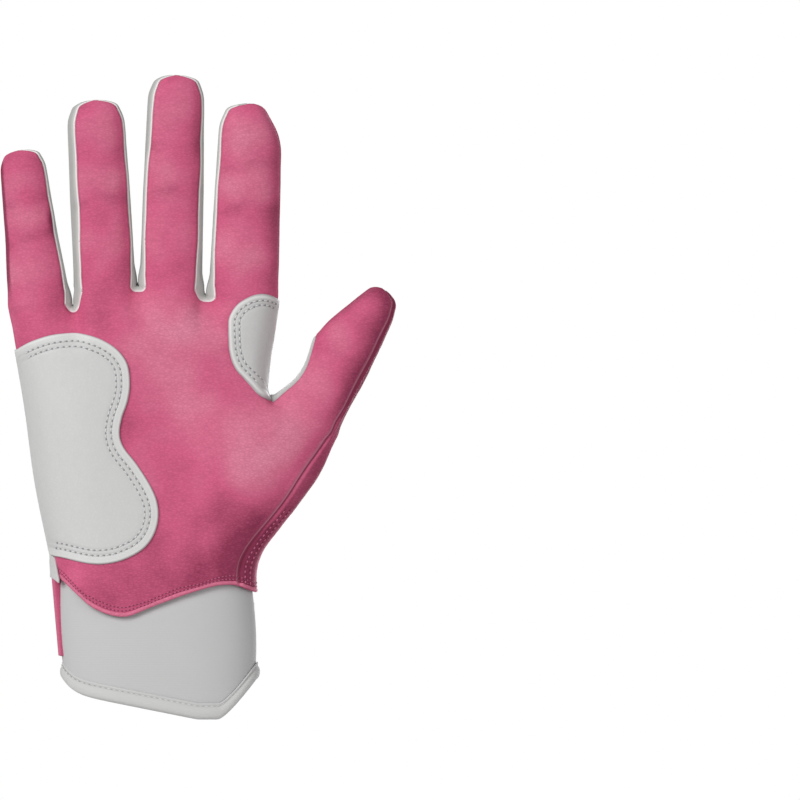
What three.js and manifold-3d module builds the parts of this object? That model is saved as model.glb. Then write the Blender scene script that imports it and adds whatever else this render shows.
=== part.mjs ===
// A right-hand batting glove, palm towards -Y, fingers up +Z, thumb towards +X. Millimetres.
// The origin is the middle of the wrist opening, level with the lowest point of the cuff.
// The glove is an open leather shell in the shape of a flat hand. Each panel is a sheet of even
// thickness that follows the hand's outer surface, with a narrow gap at every seam.
// Each finger stall bends at its base and at its middle joint, so its leather is cut there.

import * as THREE from "three";
import { mergeVertices } from "three/addons/utils/BufferGeometryUtils.js";
import Module from "manifold-3d";

const wasm = await Module();
wasm.setup();

// Sheet materials
const LEATHER = 1.0; // palm, back and finger leather
const GUSSET_KNIT = 0.9; // stretch strips between the fingers
const PATCH_LEATHER = 1.1; // reinforcement patches on the palm
const CUFF_FOAM = 2.0; // laminated foam of the wrist cuff
const STRAP_WEB = 1.6; // wrist strap
const CLOSURE_PILE = 1.0; // hook patch and loop patch
const BINDING_TAPE = 0.9; // tape folded over the cuff's lower edge
const SEAM_GAP = 0.4; // clearance along every seam and bend line
const LAYER_GAP = 0.35; // clearance between stacked layers
const CUFF_CLEARANCE = 0.9; // room between the cuff and the leather that laps over it

// Hand shape
const HAND_SQUARENESS = 2.5; // exponent of the hand's rounded section
const FINGER_SQUARENESS = 2.3; // exponent of a finger's rounded section
const FINGER_BLEND = 30; // height over which the palm splits into the finger forms
const WEB_DEPTH = 5.0; // half thickness of the webs between the fingers
const SIDE_PANEL_WIDTH = 6.5; // how far the thumb-side panel wraps onto the palm face

// Half thickness of the hand on its palm face and its back, by height above the origin
const PALM_DEPTHS = [
  [15, 20],
  [50, 20],
  [80, 18.5],
  [115, 16.5],
  [150, 12.5],
  [170, 10],
];
const BACK_DEPTHS = [
  [15, 20],
  [50, 19],
  [80, 15],
  [115, 13],
  [150, 11],
  [170, 10],
];

// Finger stalls. x and z place the middle of the bend line at the base, lean tilts the stall to the
// thumb side in degrees. halfWidths are [height, half width] pairs above the bend line. seams are the
// palm panel's edges as shares of the half width: 1 is the silhouette, where palm leather meets back
// leather directly. On the thumb the back leather itself wraps round to the palm panel's edge, and
// sway shifts the stall's middle sideways, as [height, shift] pairs. A shoulder narrows the thumb side of
// a tip by a share of its width, from a height up. tipRound is the tip's length, in half widths.
const FINGERS = {
  little: {
    x: -45.6, z: 156.9, lean: -6.8, length: 59.6, joint: 27, halfWidths: [[0, 12], [27, 9.9], [60, 8.2]],
    halfThick: [8.6, 7.4], leftSeam: 1, rightSeam: 0.87,
  },
  ring: {
    x: -20.9, z: 164.2, lean: -3.1, length: 71.0, joint: 33, halfWidths: [[0, 11.7], [33, 11.5], [71, 10.7]],
    halfThick: [9.2, 8.2], leftSeam: 0.74, rightSeam: 0.9,
  },
  middle: {
    x: 4.1, z: 164.2, lean: 1.6, length: 80.4, joint: 37, halfWidths: [[0, 11.9], [37, 11.5], [81, 10.5]],
    halfThick: [9.5, 8.4], leftSeam: 0.84, rightSeam: 0.82,
  },
  index: {
    x: 31.6, z: 160.0, lean: 2.4, length: 73.8, joint: 34, halfWidths: [[0, 13.2], [34, 12.6], [74, 11.6]],
    halfThick: [9.6, 8.6], leftSeam: 0.88, rightSeam: 1, shoulder: { start: 57, cut: 0.4 },
  },
};
const THUMB = {
  x: 53.5, z: 113.0, lean: 32.5, length: 59.4, joint: 29,
  halfWidths: [[0, 15], [14.5, 11.4], [29, 12.3], [38, 11.2], [48, 9.7], [59, 9]],
  sway: [[0, 0], [14.5, 1.5], [29, -0.4]], tipRound: 1.4,
  halfThick: [11.5, 9.0], leftSeam: 1, rightSeam: 0.74, backWraps: true,
};
const WEB_STRIP_REACH = 0.95; // edges of the thumb's web strip, as shares of the half width
const WEB_STRIP_START = 6; // lower end of the web strip, above the thumb's bend line
const FINGER_CURL = 5; // how far a fingertip leans towards the palm
const TIP_ROUND = 1.0; // length of the other rounded tips, in half widths
const TIP_RIDGE = 0.22; // width left where front and back meet at the tip, as a share
// How far each web's lowest point lies below the nearer bend line
const WEB_DROPS = { little_ring: 3.3, ring_middle: 1.4, middle_index: 1.4 };

// Silhouette of the hand between the hem and the fingers: [x, z]
const ULNAR_EDGE = [
  [-40.2, 55.5],
  [-42, 65],
  [-47.2, 90.8],
  [-51.4, 121.2],
];
const RADIAL_EDGE = [
  [36.9, 48.3],
  [36.8, 57],
  [40.5, 65.5],
  [51, 79.5],
  [59.8, 92],
];
const INDEX_SIDE = [
  [41.2, 134.5],
  [43.4, 148],
];
// Lower edge of the palm leather, where it laps over the cuff
const PALM_HEM = [
  [-33.1, 49.3],
  [-27, 43.6],
  [-20, 40.2],
  [-12.5, 39.2],
  [-3.4, 42.6],
  [7.3, 46.6],
  [19, 50.2],
  [26, 51.2],
];
const BACK_HEM_RISE = 8; // how far the back panel's lower edge arches up

// Reinforcement patches: outlines on the palm, [x, z]
const HEEL_PATCH = [
  [-60, 137], [-49.4, 143.6], [-38, 146.2], [-26, 145], [-16, 138.3], [-11.6, 129], [-15.4, 109.5],
  [-5.3, 92.7], [-0.8, 79], [-4.6, 68.8], [-16, 61.4], [-28, 59.3], [-38, 61.5], [-50, 66],
];
const WEB_PATCH = [
  [40.4, 124.6], [34, 128.6], [27.4, 135.7], [25.8, 144.5], [28.5, 154], [37, 158.4], [50, 156], [50, 127],
];

// Wrist cuff and strap
const CUFF_HALF_WIDTH = 38.2; // at the lower edge, the leather over it included
const CUFF_MIDDLE = 0; // sideways place of the cuff's middle, at the lower edge
const CUFF_LAP = 6; // how far the cuff runs up behind the hem
const CUFF_SIDE_RISE = 15.5; // height of the lower edge at the sides
const CUFF_BACK_DIP = 5; // dip of the lower edge across the back
const CUFF_LOW_STRETCH = [0.69, 0.8]; // lowest stretch of the lower edge, as shares of the front's width
const CUFF_FRONT_SLOPE = 10; // even climb from there to the little finger's side
const CUFF_CORNER_POWER = 16; // sharpness of the corner on the little finger's side
const CUFF_THUMB_POWER = 1.3; // bow of the edge on the thumb's side
const VENT_WIDTH = 12; // slit in the back of the cuff
const VENT_SHIFT = 4; // slit's middle, towards the thumb
const VENT_LAP = 7; // how far the stretch gusset runs behind the cuff on each side
const BINDING_HEIGHT = 5.2;
const STRAP_HEIGHT = 28;
const STRAP_BOTTOM = 24;
const STRAP_FALL = 3; // how much lower the free end sits
const STRAP_ANCHOR_TURN = 0.085; // anchor's reach round the back, in half turns of the cuff
const STRAP_ANCHOR_LAP = 0.075; // anchor's reach round the palm side
const STRAP_END_TURN = 0.8; // strap's free end, in half turns of the cuff
const CLOSURE_TURNS = [0.57, 0.74]; // hook and loop patches
const CLOSURE_MARGIN = 3; // strap left free above and below the closure
const TAB_LENGTH = 9; // pull tab past the strap's end
const TAB_INSET = 5; // how much narrower the tab is at each edge

// Grid steps of the sheets
const FRONT_STEPS = 4;
const WALL_STEPS = 2;
const LOWER_ROWS = 4;
const BASE_ROWS = 4;
const UPPER_ROWS = 4;
const CUFF_STEPS = 12;
const DOME_STEPS = [0.5, 0.8, 0.95, 1];

// Finishes
const finish = (color, roughness) => new THREE.MeshStandardMaterial({ color, roughness, metalness: 0 });
const PINK_LEATHER = finish(0xc85f84, 0.55);
const WHITE_LEATHER = finish(0xcbcbcb, 0.5);
const WHITE_KNIT = finish(0xc2c2be, 0.85);
const WHITE_FOAM = finish(0xc0c0c0, 0.7);
const PINK_WEBBING = finish(0xc2587c, 0.7);
const WHITE_PILE = finish(0xd2d2d0, 0.95);

const vec = (x, y, z) => new THREE.Vector3(x, y, z);
const lerp = THREE.MathUtils.lerp;
const smooth = (t) => THREE.MathUtils.smoothstep(t, 0, 1);

// Value of a list of [place, value] pairs at a place, eased between the pairs.
function along(pairs, place) {
  if (place <= pairs[0][0]) return pairs[0][1];
  for (let i = 1; i < pairs.length; i++) {
    if (place > pairs[i][0]) continue;
    const [a, b] = [pairs[i - 1], pairs[i]];
    return lerp(a[1], b[1], (place - a[0]) / (b[0] - a[0]));
  }
  return pairs.at(-1)[1];
}

// Height of a rounded section over its chord: share is -1 to 1 across the chord.
const crown = (share, squareness) =>
  Math.pow(Math.max(0, 1 - Math.pow(Math.abs(share), squareness)), 1 / squareness);

// Share of the chord at which a rounded section has a given height.
const shareAtHeight = (height, squareness) => crown(height, squareness);

// Sheets

// Outward directions of a grid of points. Columns run so that column step x row step points outwards.
function gridNormals(grid, closed) {
  const columns = grid[0].length;
  return grid.map((row, r) =>
    row.map((point, c) => {
      const before = closed ? row[(c + columns - 1) % columns] : row[Math.max(0, c - 1)];
      const after = closed ? row[(c + 1) % columns] : row[Math.min(columns - 1, c + 1)];
      const below = grid[Math.max(0, r - 1)][c];
      const above = grid[Math.min(grid.length - 1, r + 1)][c];
      const across = after.clone().sub(before);
      return across.cross(above.clone().sub(below)).normalize();
    }),
  );
}

// A closed sheet over part of a grid: rows and columns are [first, last], columns may run past the
// end of a closed grid. rise lifts the sheet's outer face off the grid, and every edge is cut back by
// half a seam gap so that neighbours stay clear of each other.
function sheet(surface, rows, columns, { thickness, rise = 0, trim = SEAM_GAP / 2 }) {
  const { grid, normals } = surface;
  const width = grid[0].length;
  const [r0, r1] = rows;
  const [c0, c1] = columns;
  const nRows = r1 - r0 + 1;
  const nColumns = c1 - c0 + 1;
  const at = (r, c) => grid[r0 + r][(c0 + c) % width];
  const cutBack = (r, c) => {
    const move = vec(0, 0, 0);
    const towards = (r2, c2) => move.addScaledVector(at(r2, c2).clone().sub(at(r, c)).normalize(), trim);
    if (c === 0) towards(r, 1);
    if (c === nColumns - 1) towards(r, nColumns - 2);
    if (r === 0) towards(1, c);
    if (r === nRows - 1) towards(nRows - 2, c);
    return move;
  };
  const positions = [];
  for (const level of [rise, rise - thickness])
    for (let r = 0; r < nRows; r++)
      for (let c = 0; c < nColumns; c++) {
        const out = normals[r0 + r][(c0 + c) % width];
        const point = at(r, c).clone().add(cutBack(r, c)).addScaledVector(out, level);
        positions.push(point.x, point.y, point.z);
      }
  const face = nRows * nColumns;
  const id = (r, c, layer) => layer * face + r * nColumns + c;
  const triangles = [];
  const quad = (a, b, c, d) => triangles.push(a, b, c, a, c, d);
  for (let r = 0; r + 1 < nRows; r++)
    for (let c = 0; c + 1 < nColumns; c++) {
      quad(id(r, c, 0), id(r, c + 1, 0), id(r + 1, c + 1, 0), id(r + 1, c, 0));
      quad(id(r, c, 1), id(r + 1, c, 1), id(r + 1, c + 1, 1), id(r, c + 1, 1));
    }
  for (let c = 0; c + 1 < nColumns; c++) {
    quad(id(0, c, 1), id(0, c + 1, 1), id(0, c + 1, 0), id(0, c, 0));
    quad(id(nRows - 1, c, 0), id(nRows - 1, c + 1, 0), id(nRows - 1, c + 1, 1), id(nRows - 1, c, 1));
  }
  for (let r = 0; r + 1 < nRows; r++) {
    quad(id(r, 0, 0), id(r + 1, 0, 0), id(r + 1, 0, 1), id(r, 0, 1));
    const c = nColumns - 1;
    quad(id(r, c, 1), id(r + 1, c, 1), id(r + 1, c, 0), id(r, c, 0));
  }
  return new THREE.BufferGeometry()
    .setAttribute("position", new THREE.Float32BufferAttribute(positions, 3))
    .setIndex(triangles);
}

// Boolean cuts

function toSolid(geometry) {
  const bare = geometry.clone();
  bare.deleteAttribute("normal");
  bare.deleteAttribute("uv");
  const merged = mergeVertices(bare, 1e-4);
  return new wasm.Manifold(
    new wasm.Mesh({
      numProp: 3,
      vertProperties: merged.attributes.position.array,
      triVerts: new Uint32Array(merged.index.array),
    }),
  );
}

function toGeometry(solid) {
  const mesh = solid.getMesh();
  return new THREE.BufferGeometry()
    .setAttribute("position", new THREE.BufferAttribute(new Float32Array(mesh.vertProperties), 3))
    .setIndex(new THREE.BufferAttribute(new Uint32Array(mesh.triVerts), 1));
}

const part = new THREE.Group();

function add(group, name, geometry, material) {
  const mesh = new THREE.Mesh(geometry, material);
  mesh.name = name;
  group.add(mesh);
}

// Finger stalls

// Half width of a stall at a height above its bend line.
const stallHalfWidth = (stall, height) => along(stall.halfWidths, height);

const stallSway = (stall, height) => (stall.sway ? along(stall.sway, height) : 0);

// Width left on the thumb side of a tip with a slanted shoulder, as a share.
function stallShoulder({ shoulder, length }, height, share) {
  if (!shoulder || share <= 0) return 1;
  return 1 - shoulder.cut * smooth((height - shoulder.start) / (length - shoulder.start));
}

const stallHalfThick = (stall, height) => lerp(...stall.halfThick, height / stall.length);

// Place of the stall's middle plane behind its bend line: the tip leans towards the palm.
const stallMiddle = (stall, height) => stall.halfThick[0] - FINGER_CURL * (height / stall.length) ** 2;

// Shares of the half width, in order round the stall: palm face, thumb-side wall, back, other wall.
function stallLoop(stall) {
  const loop = [];
  const side = (from, to, sign, steps, last) => {
    const [a, b] = [Math.asin(from), Math.asin(to)];
    for (let i = 0; i < steps + (last ? 1 : 0); i++) {
      loop.push({ share: Math.sin(lerp(a, b, i / steps)), sign });
    }
  };
  const { leftSeam, rightSeam, backWraps } = stall;
  side(-leftSeam, rightSeam, -1, FRONT_STEPS);
  if (rightSeam < 1) side(rightSeam, 1, -1, WALL_STEPS / 2);
  if (rightSeam < 1 && !backWraps) side(1, rightSeam, 1, WALL_STEPS / 2);
  side(backWraps ? 1 : rightSeam, -leftSeam, 1, FRONT_STEPS);
  if (leftSeam < 1) {
    side(-leftSeam, -1, 1, WALL_STEPS / 2);
    side(-1, -leftSeam, -1, WALL_STEPS / 2);
  }
  return loop;
}

// A point of the stall's surface, in the stall's own frame: its origin is the bend line's middle.
function stallPoint(stall, height, { share, sign }, width = 1, thick = 1) {
  const half = stallHalfWidth(stall, height) * width * stallShoulder(stall, height, share);
  const x = stallSway(stall, height) + half * share;
  const depth = stallHalfThick(stall, height) * thick * crown(share, FINGER_SQUARENESS);
  return vec(x, stallMiddle(stall, height) + sign * depth, height);
}

// The whole surface of a stall, as rows from its base to its tip.
function stallSurface(stall) {
  const loop = stallLoop(stall);
  const tipRound = stall.tipRound ?? TIP_ROUND;
  const domeStart = stall.length - stallHalfWidth(stall, stall.length) * tipRound;
  const heights = [0, stall.joint / 2, stall.joint, (stall.joint + domeStart) / 2, domeStart];
  const grid = heights.map((height) => loop.map((place) => stallPoint(stall, height, place)));
  for (const step of DOME_STEPS) {
    const width = TIP_RIDGE + (1 - TIP_RIDGE) * crown(step, FINGER_SQUARENESS);
    const height = lerp(domeStart, stall.length, step);
    grid.push(loop.map((place) => stallPoint(stall, height, place, width, crown(step, FINGER_SQUARENESS))));
  }
  const normals = gridNormals(grid, true);
  for (const out of normals.at(-1)) out.setY(0).normalize();
  return { grid, normals, jointRow: 2, lastRow: grid.length - 1 };
}

// The frame of a stall: its bend line lies on the palm face, so the back opens as it bends.
function stallGroup(stall) {
  const group = new THREE.Group();
  group.position.set(stall.x, -stall.halfThick[0], stall.z);
  group.rotation.y = THREE.MathUtils.degToRad(stall.lean);
  group.updateMatrix();
  return group;
}

// A nested frame on the bend line at the stall's middle joint.
function jointGroup(stall) {
  const group = new THREE.Group();
  group.position.set(0, stallMiddle(stall, stall.joint) - stallHalfThick(stall, stall.joint), stall.joint);
  return group;
}

// Palm leather, back leather and side walls of a stall, below and above its middle joint.
function addStall(name, stall, parent) {
  const lower = stallGroup(stall);
  const upper = jointGroup(stall);
  parent.add(lower);
  lower.add(upper);
  const surface = stallSurface(stall);
  const raised = (geometry) => geometry.translate(...upper.position.clone().negate().toArray());
  const rightWall = stall.rightSeam < 1 ? WALL_STEPS : 0;
  const leftWall = stall.leftSeam < 1 ? WALL_STEPS : 0;
  const backStart = FRONT_STEPS + rightWall;
  const backEnd = backStart + FRONT_STEPS;
  const panels = [
    ["front", [0, FRONT_STEPS], PINK_LEATHER, LEATHER, surface.lastRow],
    ["back", [backStart, backEnd], PINK_LEATHER, LEATHER, surface.lastRow],
  ];
  if (rightWall) {
    panels.push(["thumb_wall", [FRONT_STEPS, backStart], WHITE_KNIT, GUSSET_KNIT, surface.lastRow - 1]);
  }
  if (leftWall) {
    panels.push(["outer_wall", [backEnd, backEnd + leftWall], WHITE_KNIT, GUSSET_KNIT, surface.lastRow - 1]);
  }
  for (const [label, columns, material, thickness, top] of panels) {
    const base = sheet(surface, [0, surface.jointRow], columns, { thickness });
    add(lower, `${name}_${label}_lower`, base, material);
    const tip = sheet(surface, [surface.jointRow, top], columns, { thickness });
    add(upper, `${name}_${label}_upper`, raised(tip), material);
  }
  return { lower, upper };
}

// Base row of a stall in the glove's frame, from its outer seam to its thumb-side seam.
function stallBase(stall, sign) {
  const { matrix } = stallGroup(stall);
  const loop = stallLoop(stall).slice(0, FRONT_STEPS + 1);
  return loop.map(({ share }) => stallPoint(stall, 0, { share, sign }).applyMatrix4(matrix));
}

// Hand

const fingerNames = ["little", "ring", "middle", "index"];

// Lowest point of the web between two stalls, on the palm face (sign -1) or the back (sign 1).
function webPoint(left, right, sign) {
  const a = stallBase(FINGERS[left], sign).at(-1);
  const b = stallBase(FINGERS[right], sign)[0];
  const z = Math.min(a.z, b.z) - WEB_DROPS[`${left}_${right}`];
  return vec((a.x + b.x) / 2, sign * WEB_DEPTH, z);
}

// The upper edge of the hand: the four stall bases with a web between each pair.
function upperEdge(sign) {
  const edge = [];
  fingerNames.forEach((name, i) => {
    if (i) edge.push(webPoint(fingerNames[i - 1], name, sign));
    edge.push(...stallBase(FINGERS[name], sign));
  });
  return edge;
}

// Points spaced evenly along a smooth line through [x, z] pairs.
function spaced(pairs, steps) {
  const curve = new THREE.SplineCurve(pairs.map(([x, z]) => new THREE.Vector2(x, z)));
  curve.arcLengthDivisions = 400;
  return curve.getSpacedPoints(steps).map((p) => [p.x, p.y]);
}

// The left and right edges of the hand by row, and how far round the section each row reaches.
function handEdges(sign) {
  const top = upperEdge(sign);
  const rowCount = LOWER_ROWS + BASE_ROWS + UPPER_ROWS;
  const left = spaced([...ULNAR_EDGE, [top[0].x, top[0].z]], rowCount);
  const { matrix } = stallGroup(THUMB);
  const thumbAt = (share) => stallPoint(THUMB, 0, { share, sign }).applyMatrix4(matrix);
  const outer = thumbAt(1);
  const inner = thumbAt(-1);
  const sidePoints = spaced([...RADIAL_EDGE, [outer.x, outer.z]], LOWER_ROWS);
  const inset = sign < 0 ? SIDE_PANEL_WIDTH : 0;
  const right = [];
  const reach = [];
  for (let r = 0; r < LOWER_ROWS; r++) {
    const [x, z] = sidePoints[r];
    right.push([x - inset, z]);
    reach.push(1 - (2 * inset) / (x - left[r][0]));
  }
  const outerShare = sign < 0 ? THUMB.rightSeam : 1;
  const depths = sign < 0 ? PALM_DEPTHS : BACK_DEPTHS;
  for (let r = 0; r <= BASE_ROWS; r++) {
    const share = Math.sin(lerp(Math.asin(outerShare), Math.asin(-THUMB.leftSeam), r / BASE_ROWS));
    const point = thumbAt(share);
    right.push([point.x, point.z]);
    const height = Math.min(1, Math.abs(point.y) / along(depths, point.z));
    reach.push(shareAtHeight(height, HAND_SQUARENESS));
  }
  const end = top.at(-1);
  for (const [x, z] of spaced([[inner.x, inner.z], ...INDEX_SIDE, [end.x, end.z]], UPPER_ROWS).slice(1)) {
    right.push([x, z]);
    reach.push(1);
  }
  return { top, left, right, reach, sidePoints };
}

// One face of the hand as rows from its lower edge to the fingers, columns from the little finger's side.
function handFace(sign) {
  const { top, left, right, reach, sidePoints } = handEdges(sign);
  const depths = sign < 0 ? PALM_DEPTHS : BACK_DEPTHS;
  const first = top[0];
  const last = top.at(-1);
  const columns = top.map((p) => (p.x - first.x) / (last.x - first.x));
  const hemEnds = [left[0], right[0]];
  const hemCurve = new THREE.SplineCurve(
    [hemEnds[0], ...PALM_HEM, hemEnds[1]].map(([x, z]) => new THREE.Vector2(x, z)),
  );
  const lowerEdge = (u) => {
    if (sign < 0) {
      const p = hemCurve.getPointAt(u);
      return [p.x, p.y];
    }
    const x = lerp(hemEnds[0][0], hemEnds[1][0], u);
    return [x, lerp(hemEnds[0][1], hemEnds[1][1], u) + BACK_HEM_RISE * Math.sin(Math.PI * u)];
  };
  const rowCount = left.length - 1;
  const grid = left.map((edge, r) => {
    const v = r / rowCount;
    return columns.map((u, c) => {
      const low = lowerEdge(u);
      const blendAt = (axis, topValue) =>
        (1 - v) * low[axis] + v * topValue + (1 - u) * edge[axis] + u * right[r][axis] -
        ((1 - u) * (1 - v) * hemEnds[0][axis] + u * (1 - v) * hemEnds[1][axis] +
          (1 - u) * v * left.at(-1)[axis] + u * v * right.at(-1)[axis]);
      const x = blendAt(0, top[c].x);
      const z = blendAt(1, top[c].z);
      const share = lerp(-1, reach[r], u);
      const palm = along(depths, z) * crown(share, HAND_SQUARENESS);
      const split = smooth(1 - (top[c].z - z) / FINGER_BLEND);
      return vec(x, sign * lerp(palm, Math.abs(top[c].y), split), z);
    });
  });
  return { grid, sidePoints };
}

const palmFace = handFace(-1);
const backFace = handFace(1);
palmFace.normals = gridNormals(palmFace.grid, false);
backFace.normals = gridNormals(backFace.grid, false).map((row) => row.map((out) => out.negate()));

// Where the two faces meet at the silhouette, the leather's edge runs straight out sideways.
function squareUpEdge(face, row, column) {
  face.normals[row][column].setY(0).normalize();
}
const lastHandRow = palmFace.grid.length - 1;
const lastHandColumn = palmFace.grid[0].length - 1;
for (let r = 0; r <= lastHandRow; r++) {
  for (const face of [palmFace, backFace]) {
    squareUpEdge(face, r, 0);
    const meets = r >= LOWER_ROWS + BASE_ROWS || (face === backFace && r <= LOWER_ROWS);
    if (meets) squareUpEdge(face, r, lastHandColumn);
  }
}

// Outward directions round the base of a stall, in the glove's frame.
function stallBaseNormals(stall) {
  const { matrix } = stallGroup(stall);
  return stallSurface(stall).normals[0].map((out) => out.clone().transformDirection(matrix));
}

// Along the upper edge the hand's leather takes over the stalls' directions, so the seams stay in line.
const webNormals = {};
fingerNames.forEach((name, i) => {
  const stall = FINGERS[name];
  const outs = stallBaseNormals(stall);
  const start = i * (FRONT_STEPS + 2);
  const backStart = FRONT_STEPS + (stall.rightSeam < 1 ? WALL_STEPS : 0);
  for (let c = 0; c <= FRONT_STEPS; c++) {
    palmFace.normals[lastHandRow][start + c].copy(outs[c]);
    backFace.normals[lastHandRow][start + c].copy(outs[(backStart + FRONT_STEPS - c) % outs.length]);
  }
  webNormals[name] = {
    thumbSide: [0, 1, 2].map((k) => outs[(FRONT_STEPS + k) % outs.length]),
    outerSide: [0, 1, 2].map((k) => outs[(outs.length - k) % outs.length]),
  };
  if (i) {
    for (const face of [palmFace, backFace]) {
      const out = face.normals[lastHandRow][start - 1];
      out.setX(0).normalize().add(vec(0, 0, 1)).normalize();
    }
  }
});
const thumbNormals = stallBaseNormals(THUMB);
for (let r = 0; r <= BASE_ROWS; r++) {
  palmFace.normals[LOWER_ROWS + r][lastHandColumn].copy(thumbNormals[BASE_ROWS - r]);
  const back = (FRONT_STEPS + WALL_STEPS / 2 + r) % thumbNormals.length;
  backFace.normals[LOWER_ROWS + r][lastHandColumn].copy(thumbNormals[back]);
}

// The same face with its columns turned round, so that its outside faces out.
const mirrored = ({ grid, normals }) => ({
  grid: grid.map((row) => [...row].reverse()),
  normals: normals.map((row) => [...row].reverse()),
});

const hand = new THREE.Group();
part.add(hand);
const whole = (surface) => [[0, surface.grid.length - 1], [0, surface.grid[0].length - 1]];
add(hand, "palm_panel", sheet(palmFace, ...whole(palmFace), { thickness: LEATHER }), PINK_LEATHER);
const backOutside = mirrored(backFace);
add(hand, "back_panel", sheet(backOutside, ...whole(backOutside), { thickness: LEATHER }), PINK_LEATHER);

// The thumb-side panel fills the palm face from the palm leather's edge to the silhouette.
function sidePanelSurface() {
  const { matrix } = stallGroup(THUMB);
  const grid = [];
  for (let r = 0; r <= LOWER_ROWS; r++) {
    const seam = palmFace.grid[r].at(-1);
    const edge = backFace.grid[r].at(-1);
    const row = [];
    for (let i = 0; i <= WALL_STEPS; i++) {
      const turn = (i / WALL_STEPS) * (Math.PI / 2);
      const depth = seam.y * Math.cos(turn);
      const across = Math.sin(turn);
      row.push(vec(lerp(seam.x, edge.x, across), depth, lerp(seam.z, edge.z, across)));
    }
    grid.push(row);
  }
  const shares = [THUMB.rightSeam, (THUMB.rightSeam + 1) / 2, 1];
  grid[LOWER_ROWS] = shares.map((share) => stallPoint(THUMB, 0, { share, sign: -1 }).applyMatrix4(matrix));
  const normals = gridNormals(grid, false);
  normals.forEach((row, r) => {
    row[0].copy(palmFace.normals[r].at(-1));
    row.at(-1).setY(0).normalize();
  });
  return { grid, normals };
}
const sidePanel = sidePanelSurface();
add(hand, "thumb_side_panel", sheet(sidePanel, ...whole(sidePanel), { thickness: LEATHER }), PINK_LEATHER);

// Webs: each fourchette's saddle joins the walls of two stalls below their bend lines.
function webSurface(left, right) {
  const wall = (name, share) => {
    const { matrix } = stallGroup(FINGERS[name]);
    const seam = share > 0 ? FINGERS[name].rightSeam : FINGERS[name].leftSeam;
    const places = [
      { share: share * seam, sign: -1 },
      { share, sign: 1 },
      { share: share * seam, sign: 1 },
    ];
    return places.map((place) => stallPoint(FINGERS[name], 0, place).applyMatrix4(matrix));
  };
  const front = webPoint(left, right, -1);
  const back = webPoint(left, right, 1);
  const saddle = [front, front.clone().lerp(back, 0.5), back];
  const grid = [wall(left, 1), saddle, wall(right, -1)];
  const column = (fingerNames.indexOf(right)) * (FRONT_STEPS + 2) - 1;
  const directions = [
    webNormals[left].thumbSide,
    [palmFace.normals[lastHandRow][column], vec(0, 0, 1), backFace.normals[lastHandRow][column]],
    webNormals[right].outerSide,
  ];
  const turned = (rows) => [0, 1, 2].map((c) => rows.map((row) => row[c]));
  return { grid: turned(grid), normals: turned(directions) };
}
for (let i = 1; i < fingerNames.length; i++) {
  const [left, right] = [fingerNames[i - 1], fingerNames[i]];
  const surface = webSurface(left, right);
  const web = sheet(surface, ...whole(surface), { thickness: GUSSET_KNIT });
  add(hand, `fourchette_${left}_${right}`, web, WHITE_KNIT);
}

// Patches: a second layer over the palm leather, cut to its outline.
function patch(outline) {
  const layer = sheet(palmFace, ...whole(palmFace), {
    thickness: PATCH_LEATHER,
    rise: LAYER_GAP + PATCH_LEATHER,
  });
  const curve = new THREE.SplineCurve([...outline, outline[0]].map(([x, z]) => new THREE.Vector2(x, z)));
  const shape = new THREE.Shape(curve.getPoints(outline.length * 3).slice(0, -1));
  const depth = 2 * PALM_DEPTHS[0][1];
  const cutter = new THREE.ExtrudeGeometry(shape, { depth, bevelEnabled: false, steps: 1 });
  cutter.rotateX(Math.PI / 2);
  return toGeometry(toSolid(layer).intersect(toSolid(cutter)));
}
add(hand, "heel_patch", patch(HEEL_PATCH), WHITE_LEATHER);
add(hand, "web_patch", patch(WEB_PATCH), WHITE_LEATHER);

// Stalls
for (const name of fingerNames) addStall(name, FINGERS[name], hand);

// The thumb's back leather wraps round its outer edge onto the palm face.
function addThumb() {
  const lower = stallGroup(THUMB);
  const upper = jointGroup(THUMB);
  hand.add(lower);
  lower.add(upper);
  const surface = stallSurface(THUMB);
  const backEnd = 2 * FRONT_STEPS + WALL_STEPS / 2;
  const raised = (geometry) => geometry.translate(...upper.position.clone().negate().toArray());
  const panels = [
    ["front", [0, FRONT_STEPS]],
    ["back", [FRONT_STEPS, backEnd]],
  ];
  for (const [label, columns] of panels) {
    const low = sheet(surface, [0, surface.jointRow], columns, { thickness: LEATHER });
    add(lower, `thumb_${label}_lower`, low, PINK_LEATHER);
    const tip = sheet(surface, [surface.jointRow, surface.lastRow], columns, { thickness: LEATHER });
    add(upper, `thumb_${label}_upper`, raised(tip), PINK_LEATHER);
  }
  // The white web strip covers the seam on the thumb's inner edge.
  const places = [
    { share: -WEB_STRIP_REACH, sign: 1 },
    { share: -1, sign: 1 },
    { share: -WEB_STRIP_REACH, sign: -1 },
  ];
  const heights = [WEB_STRIP_START, THUMB.joint / 2, THUMB.joint];
  const grid = heights.map((height) => places.map((place) => stallPoint(THUMB, height, place)));
  const edge = { grid, normals: gridNormals(grid, false) };
  const strip = sheet(edge, [0, 2], [0, 2], { thickness: PATCH_LEATHER, rise: LAYER_GAP + PATCH_LEATHER });
  add(lower, "thumb_web_strip", strip, WHITE_LEATHER);
}
addThumb();

// Cuff: at the hem it is as wide as the leather that laps over it.

const [hemOuterX, hemThumbX] = [ULNAR_EDGE[0][0], RADIAL_EDGE[0][0]];
const hemHalfWidth = (hemThumbX - hemOuterX) / 2;
const hemMiddle = (hemThumbX + hemOuterX) / 2;

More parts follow.
